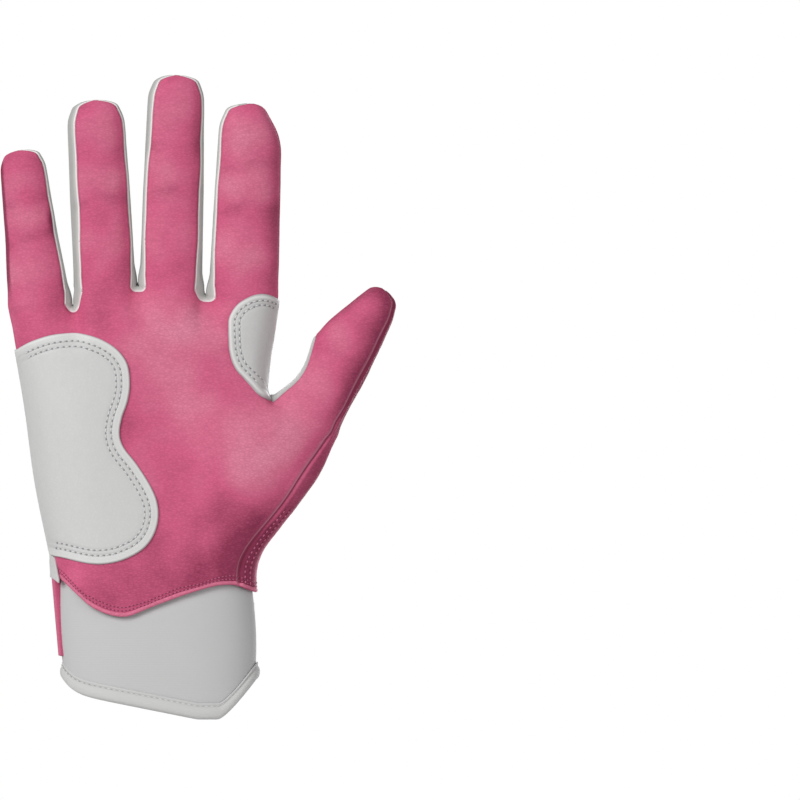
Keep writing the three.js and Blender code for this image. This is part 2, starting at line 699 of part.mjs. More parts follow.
// Outward direction and place of the cuff's outer surface. turn runs 0 to 1 across the palm face from
// the little finger's side to the thumb's side, and 0 to -1 the same way across the back.
function cuffPoint(turn, z, rise = 0) {
  const t = (z - CUFF_SIDE_RISE) / (RADIAL_EDGE[0][1] - CUFF_SIDE_RISE);
  const inset = LEATHER + CUFF_CLEARANCE;
  const half = lerp(CUFF_HALF_WIDTH, hemHalfWidth, t) - inset;
  const depths = turn >= 0 ? PALM_DEPTHS : BACK_DEPTHS;
  const thick = along(depths, z) - inset;
  const sign = turn >= 0 ? -1 : 1;
  const flat = (angle) => [-half * Math.cos(angle), sign * thick * crown(Math.cos(angle), HAND_SQUARENESS)];
  const angle = Math.PI * Math.abs(turn);
  const [x, y] = flat(angle);
  const point = vec(lerp(CUFF_MIDDLE, hemMiddle, t) + x, y, z);
  const step = 1e-3;
  const [x0, y0] = flat(Math.max(0, angle - step));
  const [x1, y1] = flat(Math.min(Math.PI, angle + step));
  const out = Math.sin(angle) < 1e-6 ? vec(Math.sign(x), 0, 0) : vec(y1 - y0, x0 - x1, 0).normalize();
  if (sign > 0 && Math.sin(angle) >= 1e-6) out.negate();
  return { point: point.addScaledVector(out, rise), out };
}

// Lower edge of the cuff: lowest near the thumb side of the palm, higher at the sides and the back.
function cuffLow(turn) {
  const t = Math.abs(turn);
  if (turn < 0) return CUFF_SIDE_RISE - CUFF_BACK_DIP * Math.sin(Math.PI * t);
  const share = (1 - Math.cos(Math.PI * t)) / 2;
  const [first, last] = CUFF_LOW_STRETCH;
  if (share > last) return CUFF_SIDE_RISE * ((share - last) / (1 - last)) ** CUFF_THUMB_POWER;
  const far = Math.max(0, (first - share) / first);
  return CUFF_FRONT_SLOPE * far + (CUFF_SIDE_RISE - CUFF_FRONT_SLOPE) * far ** CUFF_CORNER_POWER;
}

// Upper edge of the cuff, a lap above the hem of the palm leather or the back leather.
function cuffHigh(turn) {
  const row = turn >= 0 ? palmFace.grid[0] : backFace.grid[0];
  const { x } = cuffPoint(turn, RADIAL_EDGE[0][1]).point;
  return along(row.map((p) => [p.x, p.z]), x) + CUFF_LAP;
}

// A stretch of the cuff between two turns, from a lower to an upper edge.
function cuffSurface(turns, steps, low, high, rows, rise = () => 0) {
  const grid = [];
  const normals = [];
  for (let r = 0; r <= rows; r++) {
    const row = [];
    for (let i = 0; i <= steps; i++) {
      const turn = lerp(turns[0], turns[1], i / steps);
      row.push(cuffPoint(turn, lerp(low(turn), high(turn), r / rows), rise(turn)));
    }
    grid.push(row.map(({ point }) => point));
    normals.push(row.map(({ out }) => out));
  }
  return { grid, normals };
}

// Turns of the slit's two edges, on the back.
const turnOfWidth = (width) => (width / (2 * CUFF_HALF_WIDTH)) * (2 / Math.PI);
const ventMiddle = -0.5 - turnOfWidth(VENT_SHIFT);
const ventOuter = ventMiddle + turnOfWidth(VENT_WIDTH) / 2;
const ventThumb = ventMiddle - turnOfWidth(VENT_WIDTH) / 2;

const foldHeight = BINDING_TAPE + LAYER_GAP;
const cuffEdge = (turn) => cuffLow(turn) + foldHeight;
const cuffPieces = [
  ["cuff_back_outer", [ventOuter, 0], CUFF_STEPS / 2],
  ["cuff_palm_side", [0, 1], CUFF_STEPS],
  ["cuff_back_thumb", [-1, ventThumb], CUFF_STEPS / 2],
];
for (const [name, turns, steps] of cuffPieces) {
  const surface = cuffSurface(turns, steps, cuffEdge, cuffHigh, 3);
  add(hand, name, sheet(surface, ...whole(surface), { thickness: CUFF_FOAM }), WHITE_FOAM);
}

// The stretch gusset closes the slit from inside.
const gussetTurns = [ventThumb - turnOfWidth(VENT_LAP), ventOuter + turnOfWidth(VENT_LAP)];
const gussetLow = (turn) => cuffLow(turn) + BINDING_HEIGHT + LAYER_GAP;
const gussetRise = () => -CUFF_FOAM - LAYER_GAP;
const gusset = cuffSurface(gussetTurns, CUFF_STEPS / 2, gussetLow, cuffHigh, 2, gussetRise);
add(hand, "vent_gusset", sheet(gusset, ...whole(gusset), { thickness: GUSSET_KNIT }), WHITE_KNIT);

// The binding is one tape, folded over the lower edge from one side of the slit to the other.
function bindingTape() {
  const stations = [];
  for (const [, turns, steps] of cuffPieces) {
    for (let i = 0; i <= steps; i++) {
      const turn = lerp(turns[0], turns[1], i / steps);
      const { point, out } = cuffPoint(turn, cuffLow(turn));
      if (stations.length && stations.at(-1).point.distanceTo(point) < 1e-6) continue;
      stations.push({ point, out });
    }
  }
  const inner = -CUFF_FOAM - LAYER_GAP;
  const profile = [
    [LAYER_GAP + BINDING_TAPE, 0], [LAYER_GAP + BINDING_TAPE, BINDING_HEIGHT], [LAYER_GAP, BINDING_HEIGHT],
    [LAYER_GAP, BINDING_TAPE], [inner, BINDING_TAPE], [inner, BINDING_HEIGHT],
    [inner - BINDING_TAPE, BINDING_HEIGHT], [inner - BINDING_TAPE, 0],
  ];
  const positions = [];
  for (const { point, out } of stations)
    for (const [away, up] of profile) {
      const p = point.clone().addScaledVector(out, away);
      positions.push(p.x, p.y, p.z + up);
    }
  const n = profile.length;
  const triangles = [];
  for (let i = 0; i + 1 < stations.length; i++)
    for (let k = 0; k < n; k++) {
      const [a, b] = [i * n + k, i * n + ((k + 1) % n)];
      triangles.push(a, a + n, b + n, a, b + n, b);
    }
  const cap = [[0, 1, 2], [0, 2, 3], [0, 3, 7], [7, 3, 4], [7, 4, 5], [7, 5, 6]];
  const end = (stations.length - 1) * n;
  for (const [a, b, c] of cap) triangles.push(a, b, c, end + a, end + c, end + b);
  return new THREE.BufferGeometry()
    .setAttribute("position", new THREE.Float32BufferAttribute(positions, 3))
    .setIndex(triangles);
}
add(hand, "cuff_binding", bindingTape(), WHITE_LEATHER);

// Strap

const strapLow = (turn) => STRAP_BOTTOM - STRAP_FALL * Math.abs(Math.min(0, turn));
const strapHigh = (turn) => strapLow(turn) + STRAP_HEIGHT;
const anchorRise = LAYER_GAP + STRAP_WEB;
const closureRise = 3 * LAYER_GAP + 2 * CLOSURE_PILE + STRAP_WEB;
const strapRise = (turn) =>
  lerp(anchorRise, closureRise, smooth((-turn - STRAP_ANCHOR_TURN) / (CLOSURE_TURNS[0] - STRAP_ANCHOR_TURN)));

// The anchor is sewn round the little finger's edge of the cuff.
function stripSurface(turns, steps, low, high, rise) {
  return cuffSurface(turns, steps, low, high, 1, rise);
}
const anchor = stripSurface([-STRAP_ANCHOR_TURN, STRAP_ANCHOR_LAP], 4, strapLow, strapHigh, () => anchorRise);
add(hand, "strap_anchor", sheet(anchor, ...whole(anchor), { thickness: STRAP_WEB }), PINK_WEBBING);
const closureLow = (turn) => strapLow(turn) + CLOSURE_MARGIN;
const closureHigh = (turn) => strapHigh(turn) - CLOSURE_MARGIN;
const closureRange = [-CLOSURE_TURNS[1], -CLOSURE_TURNS[0]];
const loop = stripSurface(closureRange, 4, closureLow, closureHigh, () => LAYER_GAP + CLOSURE_PILE);
add(hand, "loop_patch", sheet(loop, ...whole(loop), { thickness: CLOSURE_PILE }), WHITE_PILE);

// The strap swings about the standing line of its outer skin, at the anchor's edge.
const strap = new THREE.Group();
const rootPoint = (height) => cuffPoint(-STRAP_ANCHOR_TURN, height(-STRAP_ANCHOR_TURN), anchorRise).point;
strap.position.copy(rootPoint(strapLow));
const rootLine = rootPoint(strapHigh).sub(strap.position).normalize();
strap.quaternion.setFromUnitVectors(vec(0, 0, 1), rootLine);
strap.updateMatrix();
hand.add(strap);
const onStrap = (geometry) => geometry.applyMatrix4(strap.matrix.clone().invert());
const band = stripSurface([-STRAP_END_TURN, -STRAP_ANCHOR_TURN], CUFF_STEPS, strapLow, strapHigh, strapRise);
add(strap, "wrist_strap", onStrap(sheet(band, ...whole(band), { thickness: STRAP_WEB })), PINK_WEBBING);
const hookRise = closureRise - STRAP_WEB - LAYER_GAP;
const hooks = stripSurface(closureRange, 4, closureLow, closureHigh, () => hookRise);
add(strap, "hook_patch", onStrap(sheet(hooks, ...whole(hooks), { thickness: CLOSURE_PILE })), WHITE_PILE);
const tabEnd = -STRAP_END_TURN - turnOfWidth(TAB_LENGTH);
const tabLow = (turn) => strapLow(turn) + TAB_INSET;
const tabHigh = (turn) => strapHigh(turn) - TAB_INSET;
const tab = stripSurface([tabEnd, -STRAP_END_TURN], 2, tabLow, tabHigh, () => closureRise);
add(strap, "pull_tab", onStrap(sheet(tab, ...whole(tab), { thickness: STRAP_WEB })), WHITE_LEATHER);

export default part;
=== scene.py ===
# %% [markdown]
# # A batting glove
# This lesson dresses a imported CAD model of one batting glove: thin pink leather on the palm, the
# fingers and the back, white leather patches where the bat rubs, white stretch strips between the
# fingers and a white cuff with a wrist strap. The CAD model fixes where every piece sits and which
# body it moves with. Blender adds the soft forms, the seams, the stitches and the finishes.

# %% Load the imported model
import math

import bmesh
import bpy
import numpy as np
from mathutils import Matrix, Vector, noise
from mathutils.bvhtree import BVHTree
from mathutils.kdtree import KDTree


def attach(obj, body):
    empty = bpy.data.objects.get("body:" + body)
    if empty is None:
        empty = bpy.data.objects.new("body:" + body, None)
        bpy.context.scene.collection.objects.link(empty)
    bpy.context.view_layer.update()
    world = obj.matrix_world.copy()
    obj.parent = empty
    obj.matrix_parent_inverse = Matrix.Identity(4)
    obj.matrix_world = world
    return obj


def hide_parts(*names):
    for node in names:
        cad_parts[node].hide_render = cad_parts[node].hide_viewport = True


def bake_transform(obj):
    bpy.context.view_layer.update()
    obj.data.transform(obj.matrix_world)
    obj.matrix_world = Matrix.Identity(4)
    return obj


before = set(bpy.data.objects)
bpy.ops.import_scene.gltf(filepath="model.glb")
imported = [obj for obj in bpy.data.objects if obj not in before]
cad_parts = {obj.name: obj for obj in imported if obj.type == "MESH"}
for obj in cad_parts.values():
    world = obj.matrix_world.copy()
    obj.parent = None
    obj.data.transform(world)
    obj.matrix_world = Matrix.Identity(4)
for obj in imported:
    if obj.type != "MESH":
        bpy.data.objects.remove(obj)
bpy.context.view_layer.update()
MM = 0.001

# %% [markdown]
# ## Colours and nodes
# Colours are written as sRGB hex values, the way they are read off a picture, and one function turns
# them to the linear values that Cycles works in. A second small function adds a node, sets its
# properties and links or fills its inputs, so that each material below reads like a recipe.

# %% Two helpers for all the node trees
def linear(hex_colour):
    parts = [int(hex_colour[i:i + 2], 16) / 255 for i in (1, 3, 5)]
    return (*[p / 12.92 if p <= 0.04045 else ((p + 0.055) / 1.055) ** 2.4 for p in parts], 1.0)


def put(tree, kind, inputs=None, **settings):
    """Adds a node. A value for an input may be plain, a socket, or a node for its first output."""
    made = tree.nodes.new(kind)
    for name, value in settings.items():
        setattr(made, name, value)
    for name, value in (inputs or {}).items():
        value = value.outputs[0] if isinstance(value, bpy.types.Node) else value
        if isinstance(value, bpy.types.NodeSocket):
            tree.links.new(value, made.inputs[name])
        else:
            made.inputs[name].default_value = value
    return made


def new_material(name):
    material = bpy.data.materials.new(name)
    material.use_nodes = True
    tree = material.node_tree
    tree.nodes.clear()
    return material, tree


print("pink leather in linear light:", [round(v, 3) for v in linear("#CE5F83")[:3]])

# %% [markdown]
# ## Measures
# The glove's own sizes, in millimetres, are the same as in the CAD model. Each finger stall is a
# rounded tube that starts at its bend line: where that line is, how far the stall leans, how long it
# is, where its middle joint is and its half widths by height. Outer and inner say how much of the half
# width the palm leather covers, by height, before the white side strips begin.

# %% Stalls and edges of the hand
STALLS = {
    "little": dict(
        x=-45.6, z=156.9, lean=-6.8, length=59.6, joint=27.0, thick=(8.6, 7.4),
        halves=((0, 12.0), (27, 9.9), (60, 8.2)),
        outer=((0, 1.0),), inner=((0, 0.87), (25, 0.9))),
    "ring": dict(
        x=-20.9, z=164.2, lean=-3.1, length=71.0, joint=33.0, thick=(9.2, 8.2),
        halves=((0, 11.7), (33, 11.5), (71, 10.7)),
        outer=((0, 0.78), (25, 0.72), (55, 0.74)), inner=((0, 0.88), (20, 0.93))),
    "middle": dict(
        x=4.1, z=164.2, lean=1.6, length=80.4, joint=37.0, thick=(9.5, 8.4),
        halves=((0, 11.9), (37, 11.5), (81, 10.5)),
        outer=((0, 0.84), (35, 0.9), (70, 0.78)), inner=((0, 0.81), (30, 0.86), (65, 0.92))),
    "index": dict(
        x=31.6, z=160.0, lean=2.4, length=73.8, joint=34.0, thick=(9.6, 8.6),
        halves=((0, 13.2), (34, 12.6), (74, 11.6)),
        outer=((0, 0.85), (30, 0.92), (60, 0.9)), inner=((0, 1.0),), shoulder=(1, 57.0, 0.4)),
    "thumb": dict(
        x=53.5, z=113.0, lean=32.5, length=59.4, joint=29.0, thick=(11.5, 9.0), tip_round=1.4,
        halves=((0, 15.0), (14.5, 11.4), (29, 12.3), (38, 11.2), (48, 9.7), (59, 9.0)),
        outer=((0, 0.845), (14.5, 0.87), (22, 0.91), (31, 0.985)),
        inner=((0, 0.78), (12, 0.83), (48, 0.84)),
        shoulder=(-1, 34.0, 0.36), sway=((0, 0.0), (14.5, 1.5), (29, -0.4))),
}
FINGERS = ("little", "ring", "middle", "index")
# Every stall is cut in two at the split. The thumb's white strip ends at its top.
STALL_SPLIT = 17.5
STRIP_TOP, STRIP_END, STRIP_REACH = 31.0, 1.5, 5.0
# Height of a cage row, the curl towards the palm, and the domed tip.
STALL_ROW, FINGER_CURL = 6.0, 5.0
TIP_RIDGE, DOME_STEPS, TIP_FORWARD = 0.22, (0.35, 0.65, 0.85), 2.0
# Sections are rounded by a power: 2 is an ellipse, and more is squarer.
FINGER_SQUARENESS, HAND_SQUARENESS = 2.3, 2.5
# Bottoms of the gaps between the fingers, and of the one beside the thumb.
FINGER_BLEND, WEB_DEPTH, WEB_SADDLE, CROTCH_LIFT = 14.0, 5.0, 3.4, 2.6
WEB_SHARES = (-0.62, 0.0, 0.62)
WEB_DROPS = {"little_ring": 3.3, "ring_middle": 1.4, "middle_index": 1.4}
# Half depths of the hand by height, and its edges as (across, up) from the hem to the fingers.
PALM_DEPTHS = ((15, 20.0), (50, 20.0), (80, 18.5), (115, 16.5), (150, 12.5), (170, 10.0))
BACK_DEPTHS = ((15, 20.0), (50, 19.0), (80, 15.0), (115, 13.0), (150, 11.0), (170, 10.0))
ULNAR_EDGE = ((-40.2, 55.5), (-42.0, 65.0), (-47.2, 90.8), (-51.4, 121.2))
RADIAL_EDGE = ((36.9, 48.3), (36.8, 57.0), (40.5, 65.5), (51.0, 79.5), (59.8, 92.0))
INDEX_SIDE = ((41.2, 134.5), (43.4, 148.0))
PALM_HEM = ((-33.1, 49.3), (-27.0, 43.6), (-20.0, 40.2), (-12.5, 39.2), (-3.4, 42.6), (7.3, 46.6),
            (19.0, 50.2), (26.0, 51.2))
HEM_STEP, HEM_STEPS, BACK_HEM_RISE = 2.4, 400, 8.0
SIDE_PANEL_WIDTH, SIDE_COLUMNS = 6.5, 2
# Counts of cage faces, of rounds that even them out, and of steps between a spline's points.
FRONT_STEPS, LOWER_ROWS, BASE_ROWS, UPPER_ROWS = 4, 6, 5, 5
RELAX_ROUNDS, SPLINE_STEPS = 12, 40
LEATHER, KNIT = 1.0, 0.9
print("stalls:", ", ".join(STALLS))

# %% Helpers for numbers and curves
def along(pairs, place):
    return np.interp(place, [p[0] for p in pairs], [p[1] for p in pairs])


def mix(a, b, t):
    return a + (b - a) * t


def ease(t):
    t = np.clip(t, 0.0, 1.0)
    return t * t * (3 - 2 * t)


def crown(share, squareness):
    return np.maximum(0.0, 1.0 - np.abs(share) ** squareness) ** (1.0 / squareness)


def unit(vectors):
    return vectors / np.maximum(np.linalg.norm(vectors, axis=-1, keepdims=True), 1e-9)


def spline(points, steps):
    """Evenly spaced points on a smooth line through the given points."""
    pts = np.array(points, float)
    padded = np.vstack([pts[:1], pts, pts[-1:]])
    t = np.linspace(0, 1, SPLINE_STEPS, endpoint=False)[:, None]
    fine = []
    for p0, p1, p2, p3 in zip(padded, padded[1:], padded[2:], padded[3:]):
        v0, v1 = (p2 - p0) / 2, (p3 - p1) / 2
        cubic, square = 2 * (p1 - p2) + v0 + v1, 3 * (p2 - p1) - 2 * v0 - v1
        fine.append(cubic * t ** 3 + square * t ** 2 + v0 * t + p1)
    fine = np.vstack(fine + [pts[-1:]])
    far = np.concatenate([[0], np.cumsum(np.linalg.norm(np.diff(fine, axis=0), axis=1))])
    wanted = np.linspace(0, far[-1], steps + 1)
    return np.stack([np.interp(wanted, far, fine[:, k]) for k in range(pts.shape[1])], axis=1)


half_way = crown(0.5, FINGER_SQUARENESS)
print("height of a section half way out:", round(float(half_way), 2))

# %% The surface of a stall
def stall_axes(stall):
    lean = math.radians(stall["lean"])
    return np.array([math.cos(lean), 0, -math.sin(lean)]), np.array([math.sin(lean), 0, math.cos(lean)])


def stall_origin(stall):
    return np.array([stall["x"], -stall["thick"][0], stall["z"]])


def stall_middle(stall, height):
    return stall["thick"][0] - FINGER_CURL * (height / stall["length"]) ** 2


def stall_half_thick(stall, height):
    return mix(*stall["thick"], height / stall["length"])


def shoulder(stall, height, share):
    """Width left on the side of a tip that slants."""
    side, start, depth = stall.get("shoulder", (1, 0.0, 0.0))
    if share * side <= 0:
        return 1.0
    return 1 - depth * ease((height - start) / (stall["length"] - start))


def stall_point(stall, height, share, face, width=1.0, thick=1.0):
    """A point of a stall's surface in the glove's frame: face is -1 on the palm, 1 on the back."""
    across, up = stall_axes(stall)
    half = along(stall["halves"], height) * width * shoulder(stall, height, share)
    x = along(stall.get("sway", ((0, 0.0),)), height) + half * share
    deep = stall_half_thick(stall, height) * thick * crown(share, FINGER_SQUARENESS)
    y = stall_middle(stall, height) + face * deep
    crotch = CROTCH_LIFT if "sway" in stall and height == 0 and share == -1 else 0.0
    return stall_origin(stall) + across * x + up * height + np.array([0, y, crotch])


print("finger lengths:", {name: stall["length"] for name, stall in STALLS.items()})

# %% [markdown]
# ## One skin for the whole glove
# A filled-out glove is one continuous skin that happens to be sewn from many panels. It could be
# modelled panel by panel, but then every seam would need its edges matched by hand. Here a coarse
# cage of four-sided faces is laid through points of the glove (two faces of the hand, five stalls and
# the webs between the fingers), every cage face is marked with the panel it belongs to, and a
# subdivision surface rounds it all at once. The panels are cut apart afterwards, so their edges
# always meet.

# %% The cage, and the lower ends of the stalls
cage = bmesh.new()
piece_names = []
piece_layer = cage.faces.layers.int.new("piece")
lattice = cage.loops.layers.uv.new("lattice")


def cage_face(points, piece, places=None):
    if piece not in piece_names:
        piece_names.append(piece)
    made = cage.faces.new([cage.verts.new(p) for p in points])
    made[piece_layer] = piece_names.index(piece)
    for loop, place in zip(made.loops, places or []):
        loop[lattice].uv = place


def stall_shares(stall, height=0.0):
    """Shares across the palm leather of a stall, from its outer seam to its thumb-side seam."""
    first, last = -along(stall["outer"], height), along(stall["inner"], height)
    return np.sin(np.linspace(math.asin(first), math.asin(last), FRONT_STEPS + 1))


def stall_base(stall, face):
    return [stall_point(stall, 0, share, face) for share in stall_shares(stall)]


def web_points(left, right, face):
    """The round bottom of the gap between two stalls, on one face of the hand."""
    a = stall_base(STALLS[left], face)[-1]
    b = stall_base(STALLS[right], face)[0]
    lowest = min(a[2], b[2]) - WEB_DROPS[f"{left}_{right}"]
    made = []
    for share in WEB_SHARES:
        end = a if share < 0 else b
        deep = crown(share, HAND_SQUARENESS)
        x = mix(a[0], b[0], (share + 1) / 2)
        made.append(np.array([x, mix(end[1], face * WEB_DEPTH, deep), mix(end[2], lowest, deep)]))
    return made


def thumb_base(face):
    """The thumb's base from its outer seam (palm) or edge (back) round to its inner edge."""
    thumb = STALLS["thumb"]
    first, last = stall_shares(thumb)[[-1, 0]]
    shares = np.sin(np.linspace(math.asin(first if face < 0 else 1.0), math.asin(last), BASE_ROWS))
    return [stall_point(thumb, 0, share, face) for share in (*shares, -1.0)]


print("thumb base:", len(thumb_base(-1)), "points")

# %% One face of the hand as a grid
def hand_face(face):
    """One face of the hand: rows from the hem to the fingers, columns from the little finger's side."""
    top = []
    for i, name in enumerate(FINGERS):
        if i:
            top += web_points(FINGERS[i - 1], name, face)
        top += stall_base(STALLS[name], face)
    top = np.array(top)
    base = np.array(thumb_base(face))
    rows = LOWER_ROWS + BASE_ROWS + UPPER_ROWS
    left = spline([*ULNAR_EDGE, top[0][[0, 2]]], rows)
    outer = stall_point(STALLS["thumb"], 0, 1.0, face)
    side = spline([*RADIAL_EDGE, outer[[0, 2]]], LOWER_ROWS)[:-1]
    inset = SIDE_PANEL_WIDTH if face < 0 else 0.0
    depths = PALM_DEPTHS if face < 0 else BACK_DEPTHS
    upper = spline([base[-1][[0, 2]], *INDEX_SIDE, top[-1][[0, 2]]], UPPER_ROWS)[1:]
    right = np.vstack([side - [inset, 0], base[:, [0, 2]], upper])
    if face < 0:
        right[0, 1] += HEM_STEP
    reach = [1 - 2 * inset / (x - left[r][0]) for r, (x, _) in enumerate(side)]
    reach += [crown(min(1.0, abs(p[1]) / along(depths, p[2])), HAND_SQUARENESS) for p in base]
    reach += [1.0] * UPPER_ROWS
    u = (top[:, 0] - top[0][0]) / (top[-1][0] - top[0][0])
    ends = np.array([left[0], right[0]])
    if face < 0:
        fine = spline([ends[0], *PALM_HEM, ends[1]], HEM_STEPS)
        far = np.linspace(0, 1, HEM_STEPS + 1)
        hem = np.stack([np.interp(u, far, fine[:, k]) for k in (0, 1)], axis=1)
    else:
        hem = ends[0] + np.outer(u, ends[1] - ends[0])
        hem[:, 1] += BACK_HEM_RISE * np.sin(math.pi * u)
    flat = np.zeros((rows + 1, len(u), 3))
    for r in range(rows + 1):
        v = r / rows
        edges = (1 - v) * hem + v * top[:, [0, 2]] + np.outer(1 - u, left[r]) + np.outer(u, right[r])
        low = np.outer((1 - u) * (1 - v), ends[0]) + np.outer(u * (1 - v), ends[1])
        high = np.outer((1 - u) * v, left[-1]) + np.outer(u * v, right[-1])
        flat[r, :, :2] = edges - low - high
        flat[r, :, 2] = mix(-1, reach[r], u)
    for _ in range(RELAX_ROUNDS):
        flat[1:-1, 1:-1] = (flat[2:, 1:-1] + flat[:-2, 1:-1] + flat[1:-1, 2:] + flat[1:-1, :-2]) / 4
    x, z, share = np.moveaxis(flat, 2, 0)
    depth = along(depths, z) * crown(share, HAND_SQUARENESS)
    near = ease(1 - (top[:, 2] - z) / FINGER_BLEND)
    grid = np.stack([x, face * mix(depth, np.abs(top[:, 1]), near), z], axis=2)
    grid[LOWER_ROWS:LOWER_ROWS + BASE_ROWS + 1, -1] = base
    grid[-1] = top
    return grid


palm_grid, back_grid = hand_face(-1), hand_face(1)
rows, columns = palm_grid.shape[:2]
print("hand:", rows, "rows and", columns, "columns of points")

# %% Palm, back and thumb side in the cage
CHART_SHIFTS = {"palm": 0, "back": 100, "side": 200}


def lay_grid(piece, grid, flipped=False):
    """Cage faces over a grid of points, with the column and row of every corner."""
    for r in range(len(grid) - 1):
        for c in range(len(grid[0]) - 1):
            ids = [(r, c), (r, c + 1), (r + 1, c + 1), (r + 1, c)]
            if flipped:
                ids.reverse()
            cage_face([grid[i][j] for i, j in ids], piece, [(j + CHART_SHIFTS[piece], i) for i, j in ids])


lay_grid("palm", palm_grid)
lay_grid("back", back_grid, flipped=True)
side_grid = []
for seam, edge in zip(palm_grid[:LOWER_ROWS, -1], back_grid[:LOWER_ROWS, -1]):
    side_row = []
    for t in np.linspace(0, math.pi / 2, SIDE_COLUMNS + 1):
        x, z = (mix(seam[k], edge[k], math.sin(t)) for k in (0, 2))
        side_row.append(np.array([x, seam[1] * math.cos(t), z]))
    side_grid.append(side_row)
thumb_seam = stall_shares(STALLS["thumb"])[-1]
thumb_shares = np.linspace(thumb_seam, 1.0, SIDE_COLUMNS + 1)
side_grid.append([stall_point(STALLS["thumb"], 0, share, -1) for share in thumb_shares])
lay_grid("side", side_grid)
print("hand cage:", len(cage.faces), "faces")

# %% [markdown]
# The stalls are tubes of rows from the bend line to a domed tip. Round each row run the palm leather,
# the white strip on the thumb's side, the back leather and the white strip on the other side. The
# little finger and the index finger have a strip on one side only, and the thumb has a narrow one on
# its inner edge. Each stall is cut in two, below its middle joint, because the two parts bend at
# different joints.

# %% Rows of a stall and the panels they belong to
def stall_ring(name, height=0.0):
    """Places round a stall as (share, face), and the panel that starts at each of them."""
    front = list(stall_shares(STALLS[name], height))
    left, right = front[0], front[-1]
    ring = [(share, -1, "front") for share in front[:-1]]
    if name == "thumb":
        ring += [(right, -1, "side"), (mix(right, 1, 0.5), -1, "side")]
        back = np.sin(np.linspace(math.pi / 2, math.asin(left), FRONT_STEPS + 1))
    else:
        ring += [(right, -1, "thumb_wall"), (1.0, 1, "thumb_wall")] if right < 1 else []
        back = front[::-1]
    ring += [(share, 1, "back") for share in back[:-1]]
    if left > -1:
        ring += [(left, 1, "outer_wall"), (-1.0, 1, "outer_wall")]
    return ring


def stall_heights(stall):
    dome = stall["length"] - along(stall["halves"], stall["length"]) * stall.get("tip_round", 1.0)
    marks = [0, STALL_SPLIT, stall["joint"], dome]
    if "sway" in stall:
        marks.insert(3, STRIP_TOP)
    heights = [0.0]
    for a, b in zip(marks, marks[1:]):
        count = max(1, round((b - a) / STALL_ROW))
        heights += list(np.linspace(a, b, count + 1)[1:])
    return heights, dome


def stall_rows(name):
    """The places round a stall, and its rows of points with their heights."""
    stall = STALLS[name]
    heights, dome = stall_heights(stall)
    sizes = [(h, 1.0, 1.0) for h in heights]
    for step in DOME_STEPS:
        thick = crown(step, FINGER_SQUARENESS)
        sizes.append((mix(dome, stall["length"], step), TIP_RIDGE + (1 - TIP_RIDGE) * thick, thick))
    made = []
    for h, width, thick in sizes:
        ring = stall_ring(name, h)
        made.append((h, [stall_point(stall, h, share, face, width, thick) for share, face, _ in ring]))
    return stall_ring(name), made


def stall_panel(name, panel, height, face):
    if name == "thumb" and panel == "outer_wall":
        if height >= STRIP_TOP:
            panel = "back" if face == "rear" else "front"
        else:
            panel = "strip"
    if name == "thumb" and panel == "side":
        panel = "back"
    half = "lower" if height < STALL_SPLIT else "upper"
    return f"{name}_{panel}_{half}"


print("rows of the middle finger:", len(stall_rows("middle")[1]))

# %% Stalls and webs in the cage
for name, stall in STALLS.items():
    ring, made = stall_rows(name)
    count = len(ring)
    sides = ["rear" if share > -1 else "fore" for share, _, _ in ring]
    for (low, a), (_, b) in zip(made, made[1:]):
        for k in range(count):
            n = (k + 1) % count
            cage_face([a[k], a[n], b[n], b[k]], stall_panel(name, ring[k][2], low, sides[k]))
    tip = stall_point(stall, stall["length"], 0, -1, thick=0.0) - np.array([0, TIP_FORWARD, 0])
    last = made[-1][1]
    for k in range(count):
        panel = ring[k][2]
        if panel == "back" and name != "thumb":
            panel = "outer_wall" if ring[-1][2] == "outer_wall" else "thumb_wall"
        piece = stall_panel(name, panel, stall["length"], sides[k])
        cage_face([last[k], last[(k + 1) % count], tip], piece)

for left, right in zip(FINGERS, FINGERS[1:]):
    walls = []
    for name, end, edge in ((left, -1, 1.0), (right, 0, -1.0)):
        seam = stall_shares(STALLS[name])[end]
        places = ((seam, -1), (edge, 1), (seam, 1))
        walls.append([stall_point(STALLS[name], 0, share, face) for share, face in places])
    saddle = []
    for front, rear in zip(web_points(left, right, -1), web_points(left, right, 1)):
        saddle.append([front, (front + rear) / 2 + np.array([0, 0, WEB_SADDLE]), rear])
    across = [walls[0], *saddle, walls[1]]
    for a, b in zip(across, across[1:]):
        for r in range(2):
            cage_face([a[r], b[r], b[r + 1], a[r + 1]], f"web_{left}_{right}")
MERGE = 0.02
bmesh.ops.remove_doubles(cage, verts=cage.verts, dist=MERGE)
loose = sum(1 for edge in cage.edges if edge.is_boundary)
wild = sum(1 for edge in cage.edges if not edge.is_manifold and not edge.is_boundary)
print("cage:", len(cage.verts), "points", len(cage.faces), "faces", loose, "open edges", wild, "bad edges")

# %% [markdown]
# A subdivision surface does not pass through the points of its cage: it shrinks away from them. To
# keep the CAD's sizes, the cage is pushed out by as much as its surface falls short, a few times
# over. Blender lists the cage's own points first in the subdivided mesh, so the two are easy to
# compare.

# %% A smooth skin through the cage's points
SKIN_LEVELS = 3
SKIN_ROUNDS = 4
cage_mesh = bpy.data.meshes.new("cage")
cage.to_mesh(cage_mesh)
cage.free()
cage_object = bpy.data.objects.new("cage", cage_mesh)
bpy.context.collection.objects.link(cage_object)
rounding = cage_object.modifiers.new("rounding", "SUBSURF")
rounding.levels = rounding.render_levels = SKIN_LEVELS
rounding.uv_smooth = "NONE"


def read_points(mesh):
    flat = np.empty(len(mesh.vertices) * 3)
    mesh.vertices.foreach_get("co", flat)
    return flat.reshape(-1, 3)


def evaluated(thing):
    return thing.evaluated_get(bpy.context.evaluated_depsgraph_get())


